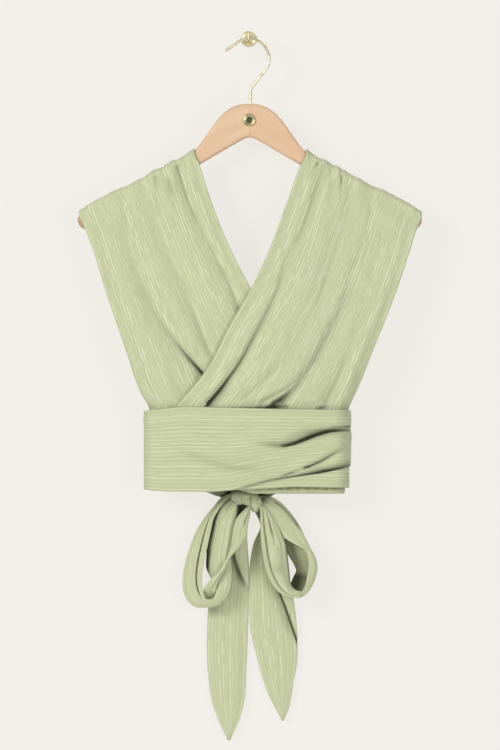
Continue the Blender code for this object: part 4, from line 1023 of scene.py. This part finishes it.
# Painted shade in the wrap's creases and under its folds and hem
WRAP_PAINTED_SHADE = (
    Fold(((8, -520.5), (27, -521.5), (45, -522.3), (60, -518.5), (78, -511.5)), 0.06, 0.62, 0.28, 5.5, 2.6),
    Fold(((45, -523.8), (57, -521.4), (72, -515.9), (87, -510.2), (106, -504.8), (121, -503.4)),
         0.45, 2.60, 0.30, 4.1, 1.0),
    Fold(((50, -508), (63, -504.5), (86, -501.5), (108, -499.5), (130, -498)), 0.12, 0.42, 0.26, 1.2, 7),
    Fold(((100, -498), (116, -497.3), (131, -497.7)), 0.0, 0.45, 0.9, 1.0, 0.8),
    Fold(((108, -505), (120, -503.8), (131, -503.4)), 0.30, 0.55, 0.8, 1.0, 0.8),
    Fold(((126.5, -515.5), (128.5, -512), (130, -508.5)), 0.1, 0.6, 0.5, 0.9, 0.9),
    Fold(((70.7, -549.2), (78, -546.8), (92, -540.5), (106, -532.2), (115, -527)), 1.2, 0.9, 0.15, 0.8, 2.2),
    Fold(((71, -549.6), (75, -549.5), (80, -548.6)), 0.5, 0.6, 0.0, 0.9, 0.9),
    Fold(((41.4, -560.8), (52, -557), (63, -553.8)), 0.40, 0.80, 0.10, 1.2, 0.9),
    Fold(((-6, -573), (28, -565.2), (67, -559.6), (88, -556.8), (106, -553.2), (131, -546.8)),
         0.15, 1.00, 0.30, 1.4, 6),
    Fold(((60, -560.5), (84, -557), (104, -553.3), (131, -545)), 0.0, 1.1, 0.35, 4.2, 6),
    Fold(((-92, -524), (-50, -542), (-8, -550.5), (30, -548.5), (54, -542)), 0.04, 0.20, 0.04, 3.5, 6.5),
)
WRAP_BACK_FOLDS = (
    Fold(((-128, -487), (-60, -496), (0, -512)), 1.6, 1.4, 0.4, 5, 7),
    Fold(((128, -487), (60, -494), (0, -504)), 1.6, 1.4, 0.4, 5, 7),
    Fold(((-120, -540), (-40, -532), (50, -540), (120, -552)), 0.6, 1.4, 0.6, 8, 8),
)
WRAP_ROOM = 8.5
WRAP_LIFT = 1.2
WRAP_RIBS = 34
WRAP_RIB_HEIGHT = 0.10
WRAP_FLAT = (0.104, 0.58)
x, depth, out_x, out_d = waist_outline(OVER_RADIUS, 300, 44, 150)
front = ramp(out_d, -0.5, 0.5)
in_front = ramp(out_d, -1.0, -0.3)
hem = in_front * read_table(WRAP_HEM, x, 1) + (1 - in_front) * WRAP_HEM_BACK
top = read_table(WRAP_TOP, x, 1)
share = np.linspace(0, 1, 64)[:, None]
even = hem + (top - hem) * share
fan = front * ramp(x, -60, 128)
z = even + fan * read_table(WRAP_FAN, share, 1)
x = np.broadcast_to(x, z.shape)
front_rise = fold_relief(x, z, WRAP_FOLDS) + WRAP_LIFT
rise = front * front_rise + (1 - front) * fold_relief(x, z, WRAP_BACK_FOLDS)
rib_turn = 2 * math.pi * share * WRAP_RIBS + 2.0 * np.sin(x / 40)
ribs = WRAP_RIB_HEIGHT * np.sin(rib_turn) * ramp(x, 60, -20) * front
rise = np.clip(rise, 0.0, WRAP_ROOM * (0.35 + 0.65 * front)) * (1 - 0.75 * ramp(x, 108, 130)) + ribs
grid = np.stack((x + rise * out_x, -(depth + rise * out_d), z), -1)
painted_shade = front * fold_relief(x, z, WRAP_PAINTED_SHADE)
threads = ring_threads(x[0], depth, share[:, 0] * WRAP_FLAT[0])
add_cloth("outer_wrap", grid, threads, painted_shade, wrap_cloth,
          ["over_wrap"], closed=True)

# The ties. The ends of both strips, drawn across the back and under the wraps to the middle of the
# front, where they are knotted. Only a fold of the left one shows from the front, beside the knot.
Station = namedtuple("Station", "x1 d1 z1 xm dm zm x2 d2 z2")
TIE_LEFT = (Station(-121, 14.6, -506, -121, 14, -536, -121, 14.6, -566),
            Station(-105, 12.6, -518, -105, 10.4, -544, -105, 12.6, -570),
            Station(-85, 11.8, -530, -85, 9.3, -552, -85, 11.8, -574),
            Station(-60, 10.8, -548, -60, 7.6, -564, -60, 10.4, -580),
            Station(-42, 10.2, -564, -43, 6.9, -575, -44, 9.5, -586),
            Station(-30, 9.6, -575, -32, 7.6, -582, -35, 9.5, -589),
            Station(-21, 12, -576.5, -22, 12, -587, -23, 12, -597))
TIE_RIGHT = (Station(117, 14.6, -508, 117, 14, -535, 117, 14.6, -562),
             Station(101, 12.6, -518, 101, 10.4, -542, 101, 12.6, -566),
             Station(81, 11.8, -530, 81, 9.3, -550, 81, 11.8, -571),
             Station(55, 10.8, -548, 55, 7.6, -562, 55, 10.4, -577),
             Station(34, 10.2, -563, 35, 6.9, -573, 36, 9.5, -583),
             Station(22, 9.6, -576.5, 25, 7.6, -582, 28, 9.5, -587),
             Station(8.5, 11, -581, 10.5, 11, -589.5, 12.5, 11, -597))
# A pleat runs along a ribbon: place across it at its start and end, where along it starts and stops,
# its rise, and its reach towards the first and the second edge, in shares of the width
Pleat = namedtuple("Pleat", "across_start across_end start stop rise first second")
TIE_PLEATS = (
    Pleat(0.3, 0.4, -0.2, 1.2, 0.8, 0.1, 0.14), Pleat(0.65, 0.6, -0.2, 1.2, -0.7, 0.1, 0.06),
)
RIBBON_RIPPLES = 5.3
RIBBON_RIPPLE_HEIGHT = 0.16


def pleat_relief(t, w, pleats):
    """Rise of a ribbon at shares t along and w across it: each pleat gives its rise, faded in and out
    along it, times the exponential of minus the square of the share off its line over its reach."""
    relief = np.zeros(np.broadcast_shapes(t.shape, w.shape))
    for pleat in pleats:
        at = pleat.across_start + (pleat.across_end - pleat.across_start) * t
        reach = np.where(w < at, pleat.first, pleat.second)
        span = ramp(t, pleat.start, pleat.start + 0.08) * ramp(t, pleat.stop, pleat.stop - 0.08)
        relief = relief + pleat.rise * span * np.exp(-((w - at) / reach) ** 2)
    return relief


def ribbon_grid(stations, pleats, painted_shade_paths, rows, columns, width):
    """A ribbon through its stations: its two edges and its middle are smooth curves, each row is the
    parabola through the three, and pleats raise it along its normal. Threads run along it. Painted
    shade is given as pleats whose rise is how dark it is painted."""
    line = smooth_path(np.array(stations, float), np.linspace(0, 1, rows))
    w = np.linspace(0, 1, columns)[None, :, None]
    first, middle, second = line[:, None, 0:3], line[:, None, 3:6], line[:, None, 6:9]
    points = first * (1 - w) * (1 - 2 * w) + middle * 4 * w * (1 - w) + second * w * (2 * w - 1)
    points = points * (1, -1, 1)
    normal = np.cross(np.gradient(points, axis=0), np.gradient(points, axis=1))
    normal /= np.maximum(np.linalg.norm(normal, axis=-1, keepdims=True), 1e-6)
    normal *= -np.sign(normal[rows // 2, columns // 2, 1])
    t, w = np.linspace(0, 1, rows)[:, None], w[..., 0]
    ripple = RIBBON_RIPPLE_HEIGHT * np.sin(2 * math.pi * (RIBBON_RIPPLES * w + 0.3 * np.sin(5 * t)))
    points = points + normal * (ripple + pleat_relief(t, w, pleats))[..., None]
    along = lengths_along(points[:, columns // 2]) * MM
    threads = np.stack(np.broadcast_arrays(w * width, along[:, None]), -1)
    return points, threads, pleat_relief(t, w, painted_shade_paths)


def add_ribbon(name, node, ribbon, flip=False):
    """Sheet of cloth on a ribbon's grid, given as stations, pleats, painted shade, rows, columns and width.
    """
    grid, threads, painted_shade = ribbon_grid(*ribbon)
    add_cloth(name, grid, threads, painted_shade, ribbon_cloth, [node], flip=flip)


ribbon_cloth = cloth_material("ribbon_cloth", 0.0050, 0.026, 0.8, 1.0, 0.6, 0.5)
# Painted shade on the ties, as pleats whose rise is how dark they are painted
TIE_PAINTED_SHADE = (
    Pleat(0.4, 0.4, 0.86, 1.2, 0.95, 1.0, 1.0), Pleat(0.9, 0.9, 0.7, 0.98, 0.5, 0.2, 0.4),
)
add_ribbon("left_tie", "tie_left", (TIE_LEFT, TIE_PLEATS, TIE_PAINTED_SHADE, 70, 36, 0.06),
           flip=True)
add_ribbon("right_tie", "tie_right", (TIE_RIGHT, TIE_PLEATS, TIE_PAINTED_SHADE, 70, 36, 0.06))

# The knot. Both ties are crossed and pulled tight: one passes over as a short strap, finely creased
# from end to end, and bulges down where the other leaves it on the right.
KNOT_DEPTH = 19.0
KNOT_THICK = 10.0
KNOT_GIRTH = 0.009 * 2 * math.pi
# x, top and bottom height of the knot
KNOT_SECTIONS = ((-24, -584, -589), (-22.5, -581, -594), (-16, -579.5, -596.5), (-8, -579.5, -598),
                 (-1, -580, -600.5), (4, -581.5, -606.5), (9, -583.5, -608.5), (13, -587, -606.5),
                 (16.5, -592, -601.5), (17.3, -595, -598.5))
KNOT_CREASES = (
    Fold(((-21, -588), (-8, -590), (3, -589), (12, -592)), -0.6, -1.3, -0.6, 1.6, 2.6),
    Fold(((-21, -592), (-10, -595.5), (0, -597)), -0.5, -1.0, -0.4, 1.2, 2.0),
    Fold(((1.5, -583.5), (1.8, -592), (3, -602)), -1.6, -2.2, -1.4, 1.2, 1.8),
    Fold(((-9, -583), (-9.5, -591), (-8, -599)), -0.2, -0.5, -0.3, 1.4, 1.4),
    Fold(((8, -588), (9.5, -597), (9, -606)), 0.2, 0.9, 0.6, 2.5, 2.5),
    Fold(((12.5, -591), (13, -598), (11, -604)), -0.3, -0.8, -0.5, 1.0, 1.0),
)
# Painted shade in the knot's creases and along its edges
KNOT_PAINTED_SHADE = (
    Fold(((1.5, -583.5), (1.8, -592), (3, -602)), 0.35, 0.55, 0.45, 0.7, 0.9),
    Fold(((-22, -584), (-20, -580.5), (-15, -578.5)), 0.6, 0.7, 0.3, 2.0, 2.0),
    Fold(((-18, -598), (-8, -600), (0, -603)), 0.5, 0.6, 0.5, 1.6, 1.6),
    Fold(((5, -609), (10, -610), (14, -607)), 0.5, 0.9, 0.6, 1.6, 1.6),
    Fold(((-9, -583), (-9.5, -591), (-8, -599)), 0.1, 0.3, 0.2, 0.7, 0.7),
    Fold(((-15.5, -583), (-15, -590), (-14, -596)), 0.1, 0.2, 0.1, 0.6, 0.6),
)
along = np.linspace(0, 1, 90)
table = np.array(KNOT_SECTIONS, float)
line = smooth_path(table, along)
middle, half = (line[:, 1] + line[:, 2]) / 2, (line[:, 1] - line[:, 2]) / 2
thick = KNOT_THICK * np.sqrt(1 - (2 * along - 1) ** 4)
half = half * np.sqrt(1 - (2 * along - 1) ** 12)
turn = np.linspace(0, 2 * math.pi, 72, endpoint=False)[None]
z = middle[:, None] + half[:, None] * np.sin(turn)
x = np.broadcast_to(line[:, :1], z.shape)
ahead = np.cos(turn)
crease = fold_relief(x, z, KNOT_CREASES) + 0.12 * np.sin(x * 2.9 + 0.6 * np.sin(z))
thick = thick[:, None]
depth = KNOT_DEPTH + thick * ahead + crease * np.clip(ahead, 0, 1) * (thick / KNOT_THICK)
grid = np.stack((x, -depth, z), -1)
round_knot = np.linspace(0, KNOT_GIRTH, turn.size + 1)[None]
threads = np.stack(np.broadcast_arrays(round_knot, line[:, :1] * MM), -1)
knot_cloth = cloth_material("knot_cloth", 0.0040, 0.02, 0.5, 1.3, 0.5, 0.6)
knot_mesh = surface_mesh("creased_knot", grid, threads, closed=True,
                         painted_shade=fold_relief(x, z, KNOT_PAINTED_SHADE))
add_piece("creased_knot", knot_mesh, knot_cloth, "cloth", "knot")

# The bow's left loop. The tie is folded lengthwise and comes out of the knot on the left, hangs down,
# turns at the bottom and goes back up behind. A narrower fold of it lies slantwise across the front.
LEFT_LOOP = (
    Station(-22.8, 18, -583.5, -22, 20.5, -586.5, -21.5, 22.5, -590),
    Station(-35.8, 18, -589.5, -33, 21, -592, -30, 24, -595),
    Station(-46, 17.5, -601.5, -42, 22.5, -602.5, -38, 25.5, -603.5),
    Station(-56, 17.5, -613.5, -50.5, 24, -614.5, -45, 26.5, -616),
    Station(-66, 17.5, -629, -57.5, 25.5, -630, -48.7, 28, -631),
    Station(-75, 17.5, -650, -64, 26.5, -650, -53, 29.5, -651),
    Station(-81.5, 17.5, -671, -69.5, 27.5, -671, -57.2, 31, -671),
    Station(-84.8, 18.5, -690, -72.5, 28.5, -690, -60.2, 32, -690),
    Station(-84.6, 20.5, -706, -72, 30, -704, -59.8, 33, -703),
    Station(-80, 22.5, -719.5, -68.5, 31, -714.5, -58, 33.5, -712),
    Station(-70, 25, -728.8, -62.5, 32, -723, -55.4, 34, -718.5),
    Station(-56, 28, -730, -52.5, 33, -724.5, -49.5, 34, -719),
    Station(-42, 29.5, -728.3, -43, 34, -722, -44.5, 33, -716),
    Station(-31, 30, -719, -36.5, 33.5, -713, -42, 31, -706),
    Station(-24, 30, -705, -35.5, 32.5, -699, -48, 28, -694),
    Station(-22, 29, -686, -36.5, 31.5, -683, -54.5, 24.5, -680),
    Station(-23.2, 28, -663, -37.5, 30.5, -663, -54.5, 20, -663),
    Station(-20.5, 27, -644, -35, 29.5, -645, -53.5, 18, -646),
    Station(-17.8, 26.5, -628, -31.5, 28.5, -629, -49.5, 18, -630),
    Station(-16, 26, -614, -29, 28, -614, -46, 17.5, -614),
    Station(-14.5, 25.5, -603, -26, 27, -602.5, -42, 17.5, -601.5),
    Station(-14.3, 24, -597.5, -20.5, 25, -594.5, -28.5, 18.5, -589.5))
LEFT_LOOP_PLEATS = (
    Pleat(0.49, 1.04, -0.1, 0.5, -2.4, 0.035, 0.035), Pleat(0.40, 0.95, -0.1, 0.52, 0.8, 0.12, 0.06),
    Pleat(0.57, 1.12, -0.1, 0.52, 1.8, 0.05, 0.25), Pleat(0.2, 0.25, 0.62, 1.1, 0.7, 0.1, 0.12),
    Pleat(0.45, 0.4, 0.6, 1.1, -0.9, 0.12, 0.1), Pleat(0.7, 0.65, 0.65, 1.1, 0.7, 0.08, 0.12),
)
# Painted shade on the left loop, as pleats whose rise is how dark they are painted
LEFT_LOOP_PAINTED_SHADE = (
    Pleat(0.495, 1.045, -0.1, 0.51, 1.0, 0.03, 0.035), Pleat(1.02, 1.02, 0.64, 1.2, 1.3, 0.14, 0.2),
    Pleat(0.92, 0.92, 0.9, 1.2, 0.8, 0.12, 0.2), Pleat(0.0, 0.0, 0.9, 1.2, 0.6, 0.1, 0.1),
    Pleat(0.9, 0.9, -0.1, 0.09, 0.8, 0.2, 0.2), Pleat(0.55, 0.5, 0.9, 1.2, 0.4, 0.03, 0.12),
)
LEFT_FOLD = (
    Station(-1.5, 27.5, -601.5, 0, 28.5, -602.3, 1.2, 28, -603),
    Station(-9, 31, -608.5, -4, 33.5, -609.5, 0.6, 31, -611),
    Station(-15, 32.5, -615.5, -8, 36, -617, -1.0, 33.5, -618),
    Station(-18.7, 33.5, -625, -10, 37.5, -627, -2.5, 35, -628),
    Station(-20.5, 34.5, -635, -12.5, 38.5, -637, -4.3, 36, -638),
    Station(-22, 35, -646, -16, 39, -646.5, -9.2, 37, -646.5),
    Station(-24, 35.5, -656, -20, 38.5, -655, -15.3, 37.5, -654.5),
    Station(-27.5, 36, -667, -25.5, 38, -665.5, -23.5, 37, -664),
    Station(-37.5, 36, -682.5, -33.5, 38, -680.5, -30, 36.5, -678.5),
    Station(-48.5, 35, -694.5, -43, 37, -694, -37.5, 34.5, -693),
    Station(-56.5, 32, -703, -49, 33, -704, -41.5, 32, -705.5),
    Station(-58.5, 27, -711.5, -50.5, 27, -713.5, -42.5, 27, -714),
    Station(-59, 21, -721, -50.5, 21, -723.5, -42, 21, -723))
# Painted shade on the fold across the left loop
LEFT_FOLD_PAINTED_SHADE = (
    Pleat(0.8, 0.8, 0.86, 1.2, 0.5, 0.5, 0.3), Pleat(0.72, 0.62, -0.1, 0.22, 0.75, 0.05, 0.05),
    Pleat(0.98, 0.98, 0.45, 0.95, 0.6, 0.08, 0.1),
)
LEFT_FOLD_PLEATS = (
    Pleat(0.35, 0.4, 0.0, 0.9, 0.9, 0.1, 0.18), Pleat(0.62, 0.7, 0.1, 1.0, -0.8, 0.14, 0.05),
)
add_ribbon("left_loop", "loop_left",
           (LEFT_LOOP, LEFT_LOOP_PLEATS, LEFT_LOOP_PAINTED_SHADE, 260, 60, 0.062))
add_ribbon("left_loop_fold", "loop_left",
           (LEFT_FOLD, LEFT_FOLD_PLEATS, LEFT_FOLD_PAINTED_SHADE, 110, 36, 0.04),
           flip=True)

# The bow's right loop. The same fold of cloth leaves the knot on the right, turns over at its widest
# so that its inner side shows, and returns up the middle with a narrow rolled edge.
RIGHT_LOOP = (
    Station(13, 22, -593, 14.5, 20, -589.5, 15, 17, -587.5),
    Station(18.5, 25, -601, 26, 21, -589, 23, 16, -591),
    Station(25, 26.5, -609.5, 41, 22, -597, 32, 14.5, -599),
    Station(31, 27.5, -619, 54.5, 23, -611.5, 39, 13.5, -612),
    Station(37, 29, -630, 64.5, 24.5, -627, 43, 13, -627),
    Station(46, 31, -641, 71.5, 26, -641, 45.5, 12.5, -641),
    Station(58, 33, -648.5, 77, 27, -653, 46.5, 12.5, -652),
    Station(71.5, 34.5, -656.5, 81.7, 28, -664, 51, 12.5, -664),
    Station(75.8, 35.5, -667, 85.2, 28, -675, 57.5, 13, -675),
    Station(76.3, 36, -678, 85.6, 28, -684, 60.5, 13.5, -683),
    Station(74.7, 36, -688, 83, 28, -693, 57.5, 14, -690),
    Station(72.7, 36, -698, 79, 28, -701.5, 54.5, 15, -697),
    Station(69.8, 35.5, -706.5, 73.5, 28.5, -709.5, 52, 17, -704),
    Station(64, 34.5, -711.5, 66.5, 28.5, -715.5, 52, 21, -709.5),
    Station(57, 33.5, -713, 58.5, 28.5, -716.5, 48, 23, -711))
RIGHT_LOOP_PLEATS = (
    Pleat(0.45, 0.35, 0.02, 0.42, -1.4, 0.08, 0.05), Pleat(0.3, 0.28, 0.02, 0.4, 0.9, 0.1, 0.08),
    Pleat(0.68, 0.6, 0.0, 0.45, 0.7, 0.1, 0.12), Pleat(0.2, 0.2, 0.1, 0.4, -0.8, 0.05, 0.08),
)
# Painted shade on the right loop
RIGHT_LOOP_PAINTED_SHADE = (
    Pleat(1.0, 1.0, 0.28, 1.2, 0.55, 0.28, 0.2), Pleat(0.8, 0.8, 0.72, 1.2, 0.45, 0.3, 0.4),
    Pleat(0.3, 0.3, -0.1, 0.1, 0.85, 0.5, 0.3), Pleat(0.36, 0.5, 0.06, 0.40, 0.75, 0.06, 0.03),
)
RIGHT_RETURN = (
    Station(15.5, 27, -600, 18, 28.5, -600.5, 21, 28, -602),
    Station(16, 29, -609, 23, 32, -611, 31, 29, -615),
    Station(15.8, 31, -622, 26, 35, -625, 38.5, 30.5, -629),
    Station(16.1, 33, -641, 31, 38, -643, 46.2, 31, -646),
    Station(19, 35, -664.5, 34, 40, -665, 49, 32, -665),
    Station(22.9, 36, -683, 37.5, 40.5, -682.5, 50.5, 32.5, -680),
    Station(28, 37, -695.5, 41, 40.5, -692, 51.5, 32.5, -689),
    Station(35.1, 38, -706, 45, 40, -701, 52.5, 32.5, -697),
    Station(43, 38, -712.5, 50, 39, -708, 55.5, 32.5, -703.5),
    Station(52, 38, -716, 57, 38, -712, 60, 32.5, -707.5),
    Station(63, 37, -716.6, 65.5, 36, -713, 67, 31.5, -709.5))
RIGHT_RETURN_PLEATS = (
    Pleat(0.10, 0.16, -0.1, 1.2, 2.0, 0.10, 0.03), Pleat(0.15, 0.22, -0.1, 1.2, -2.0, 0.025, 0.1),
    Pleat(0.55, 0.5, -0.1, 0.45, -3.0, 0.05, 0.12), Pleat(0.6, 0.55, 0.1, 0.9, 0.8, 0.12, 0.12),
    Pleat(0.8, 0.8, 0.2, 0.8, -0.6, 0.08, 0.08),
)
# Painted shade on the right loop's return
RIGHT_RETURN_PAINTED_SHADE = (
    Pleat(0.145, 0.215, 0.0, 1.2, 0.95, 0.025, 0.03), Pleat(1.0, 1.0, 0.2, 0.98, 0.9, 0.06, 0.1),
    Pleat(0.50, 0.62, 0.02, 0.32, 0.95, 0.04, 0.10), Pleat(0.5, 0.5, 0.55, 0.72, 0.22, 0.2, 0.2),
    Pleat(0.45, 0.45, -0.1, 0.05, 0.4, 0.5, 0.5),
)
add_ribbon("right_loop", "loop_right",
           (RIGHT_LOOP, RIGHT_LOOP_PLEATS, RIGHT_LOOP_PAINTED_SHADE, 200, 50, 0.06),
           flip=True)
add_ribbon("right_loop_return", "loop_right",
           (RIGHT_RETURN, RIGHT_RETURN_PLEATS, RIGHT_RETURN_PAINTED_SHADE, 150, 60, 0.05),
           flip=True)

# The tails. The free ends of the ties, hanging flat against the wall from under the knot and cut to
# a slanting point. Each is folded over along one side near the top.
LEFT_TAIL = (
    Station(-17, 14, -598, -9, 15.5, -598, -0.5, 14, -598),
    Station(-17, 12, -613, -9, 14.5, -613, -1.5, 12, -613),
    Station(-26, 11, -638, -14, 13, -638, -2.2, 11, -638),
    Station(-44, 9, -684, -22, 12, -684, 0.2, 9, -684),
    Station(-51.5, 8, -725, -26, 11, -725, 0.0, 8, -725),
    Station(-54, 7, -766, -28, 10, -766, -1.5, 7, -766),
    Station(-53, 7, -812, -28, 10, -812, -3.5, 7, -812),
    Station(-47, 8, -853, -27, 10, -853, -6.5, 8, -853),
    Station(-37, 8, -881, -26, 9, -881, -15, 8, -881),
    Station(-27, 8, -900.5, -26, 8, -901.2, -25, 8, -900.5))
RIGHT_TAIL = (
    Station(7.5, 16, -607, 11, 15.5, -606, 14, 15, -604),
    Station(14.5, 11, -626, 22, 13, -627, 29, 11, -628),
    Station(5.5, 9, -649, 22, 12, -652, 40, 9, -655),
    Station(1.0, 8, -678, 25, 11, -681, 49, 8, -684),
    Station(1.0, 8, -697, 27.5, 11, -700, 54, 8, -703),
    Station(0.9, 7, -725, 30, 10, -727, 58.5, 7, -729),
    Station(1.9, 7, -758, 32, 10, -762, 62, 7, -766),
    Station(10, 7, -794, 37, 10, -797, 62, 7, -800),
    Station(17, 8, -820, 38.5, 10, -824, 57, 8, -828),
    Station(26, 8, -845, 40, 10, -852, 52, 8, -858),
    Station(41, 8, -873, 43, 8.5, -876, 45, 8, -875))
LEFT_TAIL_PLEATS = (
    Pleat(-0.24, 3.06, 0.1, 0.4, -1.8, 0.16, 0.04), Pleat(-0.1, 3.2, 0.1, 0.42, 1.2, 0.08, 0.3),
    Pleat(0.2, 0.22, 0.3, 0.95, 0.6, 0.08, 0.08), Pleat(0.45, 0.48, 0.4, 0.95, -0.5, 0.07, 0.07),
    Pleat(0.78, 0.75, 0.5, 0.95, 0.6, 0.07, 0.08),
)
# Painted shade on the left tail
LEFT_TAIL_PAINTED_SHADE = (
    Pleat(0.5, 0.5, -0.2, 0.13, 1.0, 1.0, 1.0), Pleat(-0.24, 3.06, 0.14, 0.38, 0.85, 0.14, 0.04),
    Pleat(0.2, 0.2, 0.2, 0.5, 0.16, 0.3, 0.2), Pleat(1.0, 1.0, 0.18, 0.42, 0.7, 0.02, 0.1),
)
RIGHT_TAIL_PLEATS = (
    Pleat(0.144, 1.52, 0.30, 0.70, -1.8, 0.03, 0.05), Pleat(0.26, 1.63, 0.30, 0.72, 1.2, 0.07, 0.25),
    Pleat(0.08, 1.45, 0.3, 0.68, 0.6, 0.1, 0.04), Pleat(0.3, 0.35, 0.1, 0.9, 0.6, 0.08, 0.1),
    Pleat(0.55, 0.5, 0.5, 0.9, -0.5, 0.07, 0.07),
)
# Painted shade on the right tail
RIGHT_TAIL_PAINTED_SHADE = (
    Pleat(0.0, 0.0, 0.06, 0.36, 0.35, 0.2, 0.25), Pleat(0.144, 1.52, 0.28, 0.68, 1.0, 0.02, 0.035),
    Pleat(0.06, 1.44, 0.28, 0.62, 0.3, 0.10, 0.08), Pleat(0.35, 0.35, -0.2, 0.12, 0.55, 0.5, 0.5),
    Pleat(0.6, 0.6, 0.14, 0.36, 0.25, 0.3, 0.3),
)
add_ribbon("left_tail", "tail_left",
           (LEFT_TAIL, LEFT_TAIL_PLEATS, LEFT_TAIL_PAINTED_SHADE, 260, 60, 0.056))
add_ribbon("right_tail", "tail_right",
           (RIGHT_TAIL, RIGHT_TAIL_PLEATS, RIGHT_TAIL_PAINTED_SHADE, 240, 60, 0.056))
